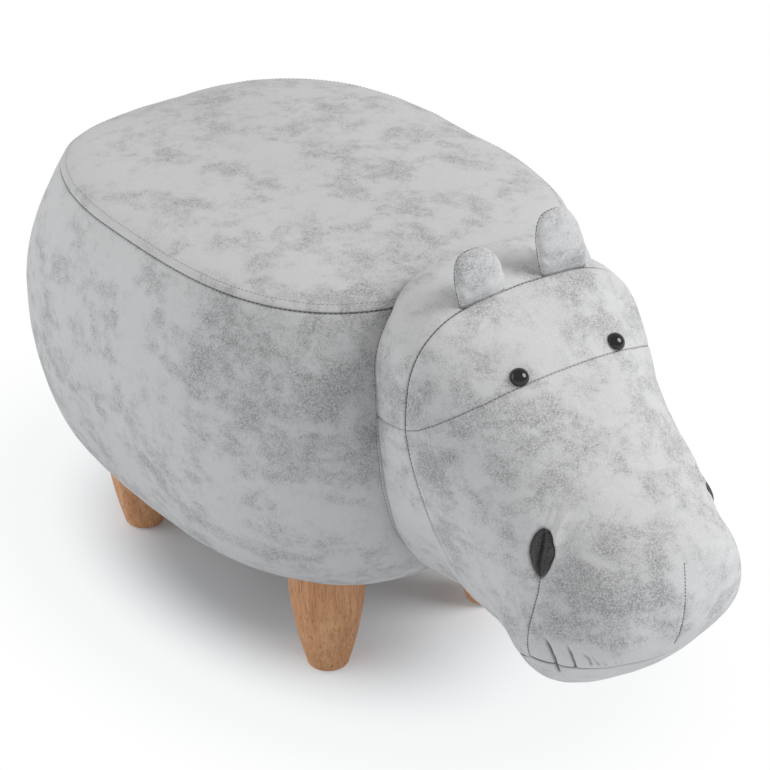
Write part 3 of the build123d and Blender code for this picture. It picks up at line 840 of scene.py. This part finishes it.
def bodyShadow(p):
    # the same painted shade on the body, in the seat seam and under the head
    seam = bumps(seatSeamAway(p), shadePlan["seatSeam"])
    return max(seam, bumps(max(headAway(p), 0), shadePlan["underHead"]))


def bodySwell(p):
    # how far the body's cloth stands out or in
    result = waves(p, bodyPlan["waves"]) - seamDip(seatSeamAway(p))
    result -= bumps(max(headAway(p), 0), bodyPlan["headDip"])
    result -= bumps(p.z - bodyPlan["widestLevel"], bodyPlan["waistDip"])
    return result * bodyPlan["flatShare"] if p.z < bodyPlan["baseLevel"] + bodyPlan["flatUnder"] else result


def rubbedAndPaintedShading(p):
    # how much darker or clearer the nap is, with painted shade and painted light
    return sum(bumps((p - Vector(mark[:3])).length, (mark[4], mark[3])) for mark in napAndShadingMarks)


def pushOut(piece, swell, shadow):
    # every point moves along its own normal, and keeps its painted shade and its nap marks, which are rubbed
    # patches with painted shade and painted light
    moves = [(v, v.co / mm, v.normal.copy()) for v in piece.data.vertices]
    for name, rule in (("shadow", shadow), ("rubbedAndPaintedShading", rubbedAndPaintedShading)):
        kept = piece.data.attributes.new(name, "FLOAT", "POINT")
        kept.data.foreach_set("value", [min(max(rule(p), -1), 1) for v, p, normal in moves])
    for v, p, normal in moves:
        v.co = (p + normal * swell(p)) * mm
    piece.data.update()


def finer(piece, chooses, cuts):
    # smaller faces where the cloth has small folds
    if selectPart(piece, chooses):
        bpy.ops.mesh.subdivide(number_cuts=cuts)
    leaveEdit()


def ringOf(v, count):
    # which ring of a sphere a point is on, from its top
    return round(math.acos(max(-1, min(1, v.co.z))) / math.pi * (count + 1))


def makeBody():
    rings = bodyRings()
    clay = newSphere("side_skin", bodyPlan["around"], len(rings) + 1)
    ends = {0: bodyPlan["seamLevel"] + bodyPlan["crownRise"], len(rings) + 1: bodyPlan["baseLevel"]}
    for v in clay.data.vertices:
        row = ringOf(v, len(rings))
        if row in ends:
            v.co = Vector((0, bodyPlan["centreY"], ends[row])) * mm
        else:
            v.co = bodyPlace(rings[row - 1], math.atan2(v.co.y, v.co.x)) * mm
    clay.data.update()
    return clay


def headRows():
    # y of each ring, evenly spaced over the head's profile
    root, tip, steps = headPlan["rootY"], headPlan["tipY"], headPlan["profileSteps"]
    length, marks = 0.0, [(0.0, root)]
    for i in range(1, steps + 1):
        y0, y1 = root + (tip - root) * (i - 1) / steps, root + (tip - root) * i / steps
        a, b = headSection(y0), headSection(y1)
        length += math.hypot(y1 - y0, max(abs(a[k] - b[k]) for k in (0, 2, 3)) * headPlan["sideShare"])
        marks.append((length, y1))
    rows, place = [], 0
    for i in range(headPlan["rings"]):
        goal = length * i / (headPlan["rings"] - 1)
        while place < len(marks) - 2 and marks[place + 1][0] < goal:
            place += 1
        (l0, y0), (l1, y1) = marks[place], marks[place + 1]
        rows.append(y0 + (y1 - y0) * min(max((goal - l0) / (l1 - l0), 0), 1))
    return rows


def makeHead():
    rows = headRows()
    nose, tip, folded = headPlan["noseRings"], headPlan["tipY"], headPlan["foldsFrom"] + 5
    count = len(rows) + nose
    clay = newSphere("muzzle_skin", headPlan["around"], count + 1)
    for v in clay.data.vertices:
        row = ringOf(v, count)
        angle = math.atan2(v.co.y, v.co.x)
        if row == 0:
            p = Vector((0, headPlan["rootY"], headSection(headPlan["rootY"])[1]))
        elif row <= len(rows):
            p = headPlace(angle, rows[row - 1])
        else:
            share = 1 - (row - len(rows)) / (nose + 1)
            p = headPlace(angle, tip, share)
            p.y = tip - headPlan["noseRound"] * (1 - share**2)
        v.co = p * mm
    clay.data.update()
    faceOut(clay)

    def nearFold(p):
        return p.y < folded and min(lineNear(p, fold[0])[0] for fold in foldLines) < headPlan["nearFold"]

    finer(clay, lambda p: p.y < folded and leafRatio(p) < headPlan["nearLeaf"], 1)
    finer(clay, nearFold, 2)
    for start, end, depth in seamStretches:
        across = Vector((-(end - start).y, (end - start).x)).normalized()

        def near(p):
            return stretchAway(p, start, end) < headPlan["nearSeam"] and bodyAway(p) > headPlan["hidden"] - 1

        for row in seamRows:
            if selectPart(clay, near):
                cutAcross((0, *(start + across * row)), (0, *across))
    leaveEdit()
    return clay


body = makeBody()
print("body formed:", len(body.data.vertices), "points")
head = makeHead()
print("head formed:", len(head.data.vertices), "points")


# Seam lines on the plain forms, kept as places and normals before the cloth is pushed out

linePlan = {
    "seatCount": 720, "headCount": 900, "pitch": 1.2, "gap": 25.0,  # points, and a gap that parts two runs
    "slack": 0.2, "clear": 0.3,  # past a seam's ends, and out of the body
    "above": 9.0, "reach": 20.0,  # a ray down onto the cloth
    "collarFront": -230.0, "collarBack": 4.0,
}


def seatSeamLine(inward=0.0):
    count = linePlan["seatCount"]
    ring = [half - inward for half in bodyPlan["seam"]] + [None if inward else bodyPlan["seamLevel"]]
    return [bodyPlace(ring, 2 * math.pi * i / count) for i in range(count + 1)]


def headSeamLine(name):
    # where the seam meets the head, all the way round, kept between its ends
    points, count, slack = seamPoints(name), linePlan["headCount"], linePlan["slack"]
    upright = points[0].x == points[-1].x
    ends = sorted(point.y if upright else point.x for point in (points[0], points[-1]))
    front, back = headPlan["tipY"] + 0.01, headPlan["rootY"] - 0.01
    if name == "mouthLine":
        back = headPlan["foldsFrom"]
    runs, run = [], []
    for i in range(count + 1):
        angle = 2 * math.pi * i / count - math.pi / 2

        def side(y):
            return y - points[0].x if upright else headPlace(angle, y).z - seamLevel(name, y)

        spot = None
        if side(front) * side(back) < 0:
            p = headPlace(angle, sum(narrowed(front, back, 30, lambda y: side(front) * side(y) > 0)) / 2)
            within = ends[0] - slack < (p.z if upright else p.y) < ends[1] + slack
            if within and bodyAway(p) > linePlan["clear"]:
                spot = p
        if spot is None or (run and (spot - run[-1]).length >= linePlan["gap"]):
            runs.append(run)
            run = []
        if spot is not None:
            run.append(spot)
    return [run for run in (*runs, run) if len(run) > 3]


def evenly(points):
    # places along a line of points
    result = []
    for start, end in zip(points, points[1:]):
        count = max(1, round((end - start).length / linePlan["pitch"]))
        result += [start.lerp(end, i / count) for i in range(count)]
    return result + [points[-1]]


def onSurface(piece, line):
    # each place with the piece's normal there
    result = []
    for p in line:
        found, spot, normal, face = piece.closest_point_on_mesh(p * mm)
        result.append((p, normal))
    return result


def onCloth(piece, line):
    # each place brought onto the pushed-out cloth
    result = []
    for p, normal in line:
        above = (p + normal * linePlan["above"]) * mm
        hit, spot, facing, face = piece.ray_cast(above, -normal, distance=linePlan["reach"] * mm)
        if hit:
            result.append((spot / mm, normal))
    return result


def collarLine():
    # where the pushed-out head comes out of the pushed-out body
    line, count = [], linePlan["headCount"]
    for i in range(count + 1):
        angle = 2 * math.pi * i / count + math.pi / 2
        low, high = headPlan["rootY"] - 1, linePlan["collarFront"]
        for _ in range(14):
            y = (low + high) / 2
            middle = headSection(y)[1]
            ray = Vector((math.cos(angle), 0, math.sin(angle)))
            hit, spot, facing, face = head.ray_cast(Vector((0, y, middle)) * mm, ray)
            found, near, bodyFacing, bodyFace = body.closest_point_on_mesh(spot)
            if (spot - near).dot(bodyFacing) > 0:
                high = y
            else:
                low = y
        if y <= headPlan["rootY"] - linePlan["collarBack"]:
            line.append((spot / mm, (facing + bodyFacing).normalized()))
    return line


seatLines = {"seatStitches": seatSeamLine(), "seatTopStitches": seatSeamLine(bodyPlan["topStitchIn"])}
bodyLines = {name: [onSurface(body, line)] for name, line in seatLines.items()}
sewnSeams = {
    "crownStitches": ("crownLow", "crownHigh"), "eyeLineStitches": ("eyeLine", "bandLine"),
    "mouthStitches": ("mouthLine", "chinLine"),
}
headLines = {
    name: [onSurface(head, run) for seam in seams for run in headSeamLine(seam)]
    for name, seams in sewnSeams.items()
}
headLines["foldStitches"] = [
    onSurface(head, evenly(line)) for name in sewnFolds for line in bothSides(folds[name][2:])
]
print("seam lines:", {name: len(runs) for name, runs in headLines.items()})


# Panels

panelNames = ("muzzle_panel", "forehead_panel", "chin_panel", "band_upper", "band_lower")
unseenMark, seatMark = 9, 1


def panelOf(p):
    # which panel of the head a place belongs to, by its side view
    crownY, crownZ = sideCorners["crown"]
    footY, footZ = sideCorners["crownFoot"]
    if p.y > crownY + (footY - crownY) * max(crownZ - p.z, 0) / (crownZ - footZ):
        return "band_upper" if p.z > seamLevel("bandLine", p.y) else "band_lower"
    if p.z > seamLevel("eyeLine", p.y):
        return "forehead_panel"
    under = "mouthLine" if p.y < sideCorners["mouthCorner"][0] else "chinLine"
    return "chin_panel" if p.z < seamLevel(under, p.y) else "muzzle_panel"


def makePanels():
    markFaces(body, lambda p: seatMark if p.z > bodyPlan["seamLevel"] else 0)
    deepest = headPlan["hidden"]
    markFaces(head, lambda p: unseenMark if bodyAway(p) < deepest else panelNames.index(panelOf(p)))
    pushOut(body, bodySwell, bodyShadow)
    pushOut(head, headSwell, headShadow)
    bpy.context.view_layer.update()
    for piece, lines in ((body, bodyLines), (head, headLines)):
        for name, runs in lines.items():
            lines[name] = [onCloth(piece, run) for run in runs]
    headLines["collarStitches"] = [collarLine()]
    seat = cutOff(body, seatMark, "seat_skin")
    inside = cutOff(head, unseenMark, "unseen")
    if inside:
        bpy.data.objects.remove(inside)
    panels = {panelNames[0]: head}
    for mark, name in enumerate(panelNames):
        if mark:
            panels[name] = cutOff(head, mark, name.replace("_panel", "") + "_skin")
    for piece in (seat, body, *panels.values()):
        thicken(piece, bodyPlan["skin"] if piece in (seat, body) else headPlan["skin"])
    pads = ("side_foam_left", "side_foam_right", "front_foam", "rear_foam")
    dress(seat, suede, "suede_cloth", "seat_cover", "seat_foam", fill=bodyPlan["fill"])
    dress(body, suede, "suede_cloth", "side_cover", *pads, fill=bodyPlan["fill"])
    for name, piece in panels.items():
        stuffing = ["head_stuffing"] if name == "muzzle_panel" else []
        dress(piece, suede, "suede_cloth", name, *stuffing, fill=headPlan["fill"])
    return seat, panels


seatSkin, headPanels = makePanels()
print("panels parted:", {p.name: len(p.data.polygons) for p in (seatSkin, body, *headPanels.values())})


# Stitches: one is modelled, then copied along each seam

stitchPlan = {"sides": 6, "bar": 0.7, "tip": 0.15, "tipFrom": 0.3, "pinch": 0.45}
# one row a seam: length, radius, pitch, lift
threadPlans = {
    "seatStitches": (2.4, 0.22, 3.6, 0.55),
    "seatTopStitches": (2.0, 0.22, 3.4, 0.05),
    "crownStitches": (2.1, 0.24, 3.4, 0.6),
    "eyeLineStitches": (2.0, 0.16, 3.4, 0.2),
    "mouthStitches": (2.3, 0.26, 3.2, 0.5),
    "foldStitches": (1.6, 0.24, 2.4, 0.2),
    "collarStitches": (2.6, 0.26, 3.4, 0.0),
    "earStitches": (2.2, 0.26, 2.9, 0.3),
}


def makeStitch(length, radius):
    # a short bar with rounded ends, along X
    selectNone()
    bpy.ops.mesh.primitive_cylinder_add(
        vertices=stitchPlan["sides"], radius=radius * mm, depth=length * stitchPlan["bar"] * mm,
        rotation=(0, math.pi / 2, 0),
    )
    bar = named("stitch")
    settle(bar)
    for end in (1, -1):
        selectPart(bar, lambda p: p.x * end > length * stitchPlan["tipFrom"])
        move = (end * length * stitchPlan["tip"] * mm, 0, 0)
        bpy.ops.mesh.extrude_region_move(TRANSFORM_OT_translate={"value": move})
        bpy.ops.transform.resize(value=(1, stitchPlan["pinch"], stitchPlan["pinch"]))
    leaveEdit()
    return bar


def sewLine(name, runs, material, plan):
    # copies of the stitch laid head to tail along the seam
    length, radius, pitch, lift = plan
    bar = makeStitch(length, radius)
    copies = []
    for run in runs:
        spots = [(p + normal * lift, normal) for p, normal in run]
        travelled, goal = 0.0, pitch / 2
        for (a, normal), (b, _) in zip(spots, spots[1:]):
            step = (b - a).length
            while step > 0 and travelled + step >= goal:
                spot = a.lerp(b, (goal - travelled) / step)
                along = (b - a).normalized()
                out = (normal - along * normal.dot(along)).normalized()
                turn = Matrix((along, out.cross(along), out)).transposed().to_4x4()
                shape = bar.data.copy()
                shape.transform(Matrix.Translation(spot * mm) @ turn)
                copy = bpy.data.objects.new(name, shape)
                scene.collection.objects.link(copy)
                copies.append(copy)
                goal += pitch
            travelled += step
    bpy.data.objects.remove(bar)
    selectNone()
    for copy in copies:
        copy.select_set(True)
    bpy.context.view_layer.objects.active = copies[0]
    bpy.ops.object.join()
    sewn = named(name)
    smooth(sewn, 60)
    dress(sewn, material, "suede_cloth")


for name, runs in (*bodyLines.items(), *headLines.items()):
    sewLine(name, runs, paleThread if name == "seatTopStitches" else thread, threadPlans[name])
print("seams sewn")


# Ears: two stuffed tabs sewn in at the crown seam

earPlan = {
    "x": 36.0, "y": -150.2, "middle": 360.0, "halfWidth": 20.2, "up": {1: 43.0, -1: 33.0}, "down": 32.0,
    "front": 6.8, "back": 3.0, "square": 2.8, "taper": 0.14, "lean": -0.23, "root": 0.10,
    "rootLevel": (344.0, 366.0), "around": 128, "rings": 72, "crowding": 0.85, "roundness": 0.62,
    "seamY": 0.6, "nearSeam": 2.5, "fill": 0.8,
    "seamDip": (1.0, 0.8, 0.12), "puckers": (0.35, 9, 3), "puckerPlace": (0.86, 0.16), "backPuckers": 0.3,
    "waves": (0.4, 11, 4.0), "baseShade": (0.6, 1.2), "seamShade": (0.75, 0.8, 0.10),
    "lineFrom": -0.5, "lineTurn": math.pi + 1.0, "linePoints": 241,
}
earSeamRows = (0.0, 0.45, -0.45, 1.1, -1.1)


def earFullness(level):
    # the ear is flat where it is sewn in and fills out above
    low, high = earPlan["rootLevel"]
    share = min(max((level - low) / (high - low), 0), 1)
    return earPlan["root"] + (1 - earPlan["root"]) * share * share * (3 - 2 * share)


def earReach(side, angle):
    rise = earPlan["up"][side] if math.sin(angle) >= 0 else earPlan["down"]
    return roundReach(angle, earPlan["halfWidth"], rise, earPlan["square"])


def earPlace(side, angle, share=1.0):
    # across and level of a place on the ear's face
    reach = share * earReach(side, angle)
    x, z = reach * math.cos(angle), reach * math.sin(angle)
    x *= 1 - earPlan["taper"] * max(0, -z) / earPlan["down"]
    return side * (earPlan["x"] + x) + earPlan["lean"] * z, earPlan["middle"] + z


def makeEar(side, name):
    clay = newSphere(name + "_skin", earPlan["around"], earPlan["rings"], rotation=(math.pi / 2, 0, 0))
    settle(clay)
    for v in clay.data.vertices:
        share = min(1, math.hypot(v.co.x, v.co.z)) ** earPlan["crowding"]
        x, z = earPlace(side, math.atan2(v.co.z, v.co.x), share)
        depth = earPlan["front"] if v.co.y < 0 else earPlan["back"]
        depth *= math.copysign(abs(v.co.y) ** earPlan["roundness"], v.co.y) * earFullness(z)
        v.co = Vector((x, earPlan["y"] + depth, z)) * mm
    clay.data.update()
    faceOut(clay)
    seamY = earPlan["y"] + earPlan["seamY"]
    for row in earSeamRows:
        selectPart(clay, lambda p: abs(p.y - seamY) < earPlan["nearSeam"])
        cutAcross((0, seamY + row, earPlan["middle"]), (0, 1, 0))
    leaveEdit()

    def edgeShare(p):
        # 1 on the ear's outline
        z = p.z - earPlan["middle"]
        x = side * (p.x - earPlan["lean"] * z) - earPlan["x"]
        return min(math.hypot(x, z) / earReach(side, math.atan2(z, x)), 1)

    def swell(p):
        depth, reach, rim = earPlan["seamDip"]
        result = -depth * math.exp(-((abs(p.y - seamY) / reach) ** 1.6)) * bump(1 - edgeShare(p), rim)
        # small puckers pulled from the seam across the face
        height, around, uneven = earPlan["puckers"]
        place, spread = earPlan["puckerPlace"]
        angle = math.atan2(p.z - earPlan["middle"], side * p.x - earPlan["x"])
        pull = height * bump(edgeShare(p) - place, spread)
        if p.y >= earPlan["y"]:
            pull *= earPlan["backPuckers"]
        result += pull * math.sin(around * angle + uneven * noise.noise(p / 9))
        height, size, offset = earPlan["waves"]
        return earFullness(p.z) * (result + waves(p, ((height, size, (side * offset, 0, 0)),)))

    def shadow(p):
        # painted shade along the ear's base on the head and in its sewn seam
        base = bumps(max(headAway(p), 0), earPlan["baseShade"]) if p.y < earPlan["y"] else 0
        strength, reach, rim = earPlan["seamShade"]
        return max(strength * bump(p.y - seamY, reach) * bump(1 - edgeShare(p), rim), base)

    line = []
    for i in range(earPlan["linePoints"]):
        x, z = earPlace(side, earPlan["lineFrom"] + earPlan["lineTurn"] * i / (earPlan["linePoints"] - 1))
        line.append(Vector((x, seamY, z)))
    line = onSurface(clay, line)
    pushOut(clay, swell, shadow)
    smooth(clay)
    bpy.context.view_layer.update()
    fillings = ["ear_fillings"] if side > 0 else []
    dress(clay, suede, "suede_cloth", name, *fillings, fill=earPlan["fill"])
    sewLine(name + "_stitches", [onCloth(clay, line)], thread, threadPlans["earStitches"])


for side, name in ((1, "ear_left"), (-1, "ear_right")):
    makeEar(side, name)
print("ears sewn")


# Eyes: glossy domes seated on the forehead

eyePlan = {
    "x": {1: 45.2, -1: 40.2}, "y": -199.4, "z": 314.2, "normal": (0.222, -0.610, 0.761),
    "radius": 6.8, "depth": 5.4, "back": 1.6, "backFrom": -1.2, "inset": 0.4, "around": 64, "rings": 40,
}


def makeEye(side, name):
    facing = Vector(eyePlan["normal"]).normalized()
    facing.x *= side
    turn = facing.to_track_quat("Z", "Y").to_matrix().to_4x4()
    centre = Vector((eyePlan["x"][side] * side, eyePlan["y"], eyePlan["z"]))
    dome = newSphere(name + "_dome", eyePlan["around"], eyePlan["rings"], eyePlan["radius"] * mm)
    for v in dome.data.vertices:
        z = v.co.z / mm / eyePlan["radius"]
        v.co.z = z * (eyePlan["depth"] if z > 0 else eyePlan["back"]) * mm
    selectPart(dome, lambda p: p.z < eyePlan["backFrom"])
    bpy.ops.mesh.inset(thickness=eyePlan["inset"] * mm)
    leaveEdit()
    dome.data.transform(Matrix.Translation(centre * mm) @ turn)
    dome.data.update()
    smooth(dome, 60)
    dress(dome, eyeGloss, "eye_gloss", name)


for side, name in ((1, "eye_left"), (-1, "eye_right")):
    makeEye(side, name)
print("eyes seated")


# Nostrils: dark leaves, folded down the middle

def makeNostril(side, name):
    centre, across, along, facing = nostrilFrame(side)
    leaf = newSphere(name + "_leaf", nostrilPlan["around"], nostrilPlan["rings"])
    length, sunk = nostrilPlan["length"], nostrilPlan["sunk"]
    for v in leaf.data.vertices:
        angle, flat = math.atan2(v.co.y, v.co.x), min(1, math.hypot(v.co.x, v.co.y))

        def inside(reach):
            place = reach * math.sin(angle) / length
            return abs(place) <= 0.5 and abs(reach * math.cos(angle)) <= leafHalf(place)

        # the outline's reach at this angle, found outwards
        reach = narrowed(0.0, length / 2 * 1.05, 18, inside)[0] * flat
        u, w = reach * math.cos(angle), reach * math.sin(angle)
        if v.co.z >= 0:
            fold = bumps(u + 0.5 * math.sin(w / 4), (nostrilPlan["fold"], nostrilPlan["foldReach"]))
            swell = nostrilPlan["swell"] * (1 - flat**4) - fold * (1 - flat**6)
        else:
            swell = -nostrilPlan["back"] * (1 - flat**4)
        v.co = (centre + across * u + along * w + facing * (swell - sunk)) * mm
    leaf.data.update()
    faceOut(leaf, joined=True)
    # the leaf lies on the curve of the muzzle
    for v in leaf.data.vertices:
        p = v.co / mm
        flatPlace = p - facing * (p - centre).dot(facing)
        away = headAway(Vector((abs(flatPlace.x), flatPlace.y, flatPlace.z)))
        v.co = (p - facing * min(max(away, -nostrilPlan["mostBend"]), nostrilPlan["mostBend"])) * mm
    leaf.data.update()
    smooth(leaf, 60)
    dress(leaf, nostrilLeather, "nostril_leather", name)


for side, name in ((1, "nostril_left"), (-1, "nostril_right")):
    makeNostril(side, name)
print("nostrils set in")


# Legs: turned, with an eased foot, drawn up ring by ring

legPlan = {
    "around": 72, "foot": 16.3, "footLevel": 1.2, "top": 29.8, "skirtLevel": 92.0, "ease": 4.2, "belly": 2.0,
    "easeRings": 6, "rings": 24,
}


def legProfile():
    # radius and level of each ring, foot to top
    foot, low, top, high, ease = (legPlan[k] for k in ("foot", "footLevel", "top", "skirtLevel", "ease"))
    angles = [math.pi / 2 * i / legPlan["easeRings"] for i in range(legPlan["easeRings"] + 1)]
    rings = [(foot - ease * (1 - math.sin(a)), low + ease * (1 - math.cos(a))) for a in angles]
    start = low + ease
    for i in range(1, legPlan["rings"] + 1):
        t = i / legPlan["rings"]
        rings.append((foot + (top - foot) * (1 - (1 - t) ** legPlan["belly"]), start + (high - start) * t))
    return rings


def makeLeg(name):
    low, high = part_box(name)
    x, y = (low[0] + high[0]) / 2, (low[1] + high[1]) / 2
    rings = legProfile()
    selectNone()
    radius, level = rings[0]
    bpy.ops.mesh.primitive_circle_add(
        vertices=legPlan["around"], radius=radius * mm, fill_type="NGON", location=(x, y, level * mm),
    )
    leg = named(name + "_turned")
    settle(leg)
    bpy.ops.object.mode_set(mode="EDIT")
    bpy.ops.mesh.select_all(action="SELECT")
    for (r0, z0), (r1, z1) in zip(rings, rings[1:]):
        bpy.ops.mesh.extrude_region_move(TRANSFORM_OT_translate={"value": (0, 0, (z1 - z0) * mm)})
        bpy.ops.transform.resize(value=(r1 / r0, r1 / r0, 1), center_override=(x, y, z1 * mm))
    faceOut(leg)
    smooth(leg, 40)
    dress(leg, wood, "leg_wood", name)


for name in ("leg_front_left", "leg_front_right", "leg_rear_left", "leg_rear_right"):
    makeLeg(name)
print("legs turned")


# CAD nodes that stay get their finishes

finishes = {
    plywood: ("base_board", "top_board", "side_panel_left", "side_panel_right", "front_panel", "rear_panel",
              "corner_blocks"),
    metal: ("base_screws", "top_screws", "hanger_bolts", "tee_nuts"),
    dustCloth: ("base_cloth",), glidePlastic: ("leg_glides",), washerPlastic: ("eye_washers",),
}
for material, names in finishes.items():
    for node in (nodes[name] for name in names):
        if not node.material_slots:
            node.data.materials.append(material)
        for slot in node.material_slots:
            slot.material = material
print("CAD nodes finished")


# Floor, background and lamps

stagePlan = {
    "size": 9.0, "floor": (0.86, 0.885, 0.91), "shadedGlow": (0.915, 0.93, 0.935), "grain": 1.01,
    # an oval on the floor, how far out its shadow clears, and how far out the glow's painted shade turns
    # white
    "centre": (0.0, 0.12), "halves": (0.187, 0.3), "clear": (0.46, 0.96), "white": (0.9, 1.5),
    "fill": (0.99, 0.992, 1.0, 1), "fillStrength": 0.52, "aim": (0, 0, 0.2),
    # place, size, power
    "lamps": {"key": ((1.35, -1.5, 1.8), 1.5, 40), "side": ((-1.8, 1.3, 0.85), 2.4, 17)},
}


def makeFloor():
    # shadows show beside the object, and fade into white away from it
    board = Board("floor")
    camera, glossy = (board.node("LightPath", output=ray) for ray in ("Is Camera Ray", "Is Glossy Ray"))
    where = board.node("SeparateXYZ", None, {"Vector": board.node("TexCoord", output="Object")}).socket.node
    parts = zip(where.outputs, stagePlan["centre"], stagePlan["halves"])
    x, y = ((Wire(board, output) - centre) / half for output, centre, half in parts)
    away = (x * x + y * y) ** 0.5
    fade = (away.step(*stagePlan["clear"]) * 0.97 + 0.03) * (camera + glossy).step(0.4, 0.6)
    grain = board.noise(board.place(), 30, 2)
    colour = board.mix(grain, stagePlan["floor"], tuple(c * stagePlan["grain"] for c in stagePlan["floor"]))
    plain = board.node("BsdfDiffuse", None, {"Color": colour, "Roughness": 0.3})
    # painted shade: the floor's glow is greyer near the object and turns white further out
    shadedGlow = board.mix(away.step(*stagePlan["white"]), stagePlan["shadedGlow"], (1, 1, 1))
    glow = board.node("Emission", None, {"Color": shadedGlow, "Strength": 1.0})
    both = board.node("MixShader", None, {0: fade, 1: plain, 2: glow})
    board.node("OutputMaterial", None, {"Surface": both})
    selectNone()
    bpy.ops.mesh.primitive_plane_add(size=stagePlan["size"])
    floor = named("floor")
    floor.data.materials.append(board.owner)


def makeWorld():
    # white behind the object, and a softer fill light
    board = Board("studio", "worlds")
    path = board.node("LightPath", output="Is Camera Ray")
    glows = ((stagePlan["fill"], stagePlan["fillStrength"]), ((1, 1, 1, 1), 1.0))
    fill, seen = (board.node("Background", None, {"Color": c, "Strength": power}) for c, power in glows)
    board.node("OutputWorld", None, {"Surface": board.node("MixShader", None, {0: path, 1: fill, 2: seen})})
    scene.world = board.owner


def makeLamp(name, spot, size, power):
    light = bpy.data.lights.new(name, "AREA")
    light.shape = "DISK"
    light.size = size
    light.energy = power
    lamp = bpy.data.objects.new(name, light)
    scene.collection.objects.link(lamp)
    back = (Vector(spot) - Vector(stagePlan["aim"])).normalized()
    lamp.matrix_world = Matrix.Translation(Vector(spot)) @ back.to_track_quat("Z", "Y").to_matrix().to_4x4()


makeFloor()
makeWorld()
for name, lamp in stagePlan["lamps"].items():
    makeLamp(name, *lamp)
scene.view_settings.view_transform = "Standard"
print("stage lit")
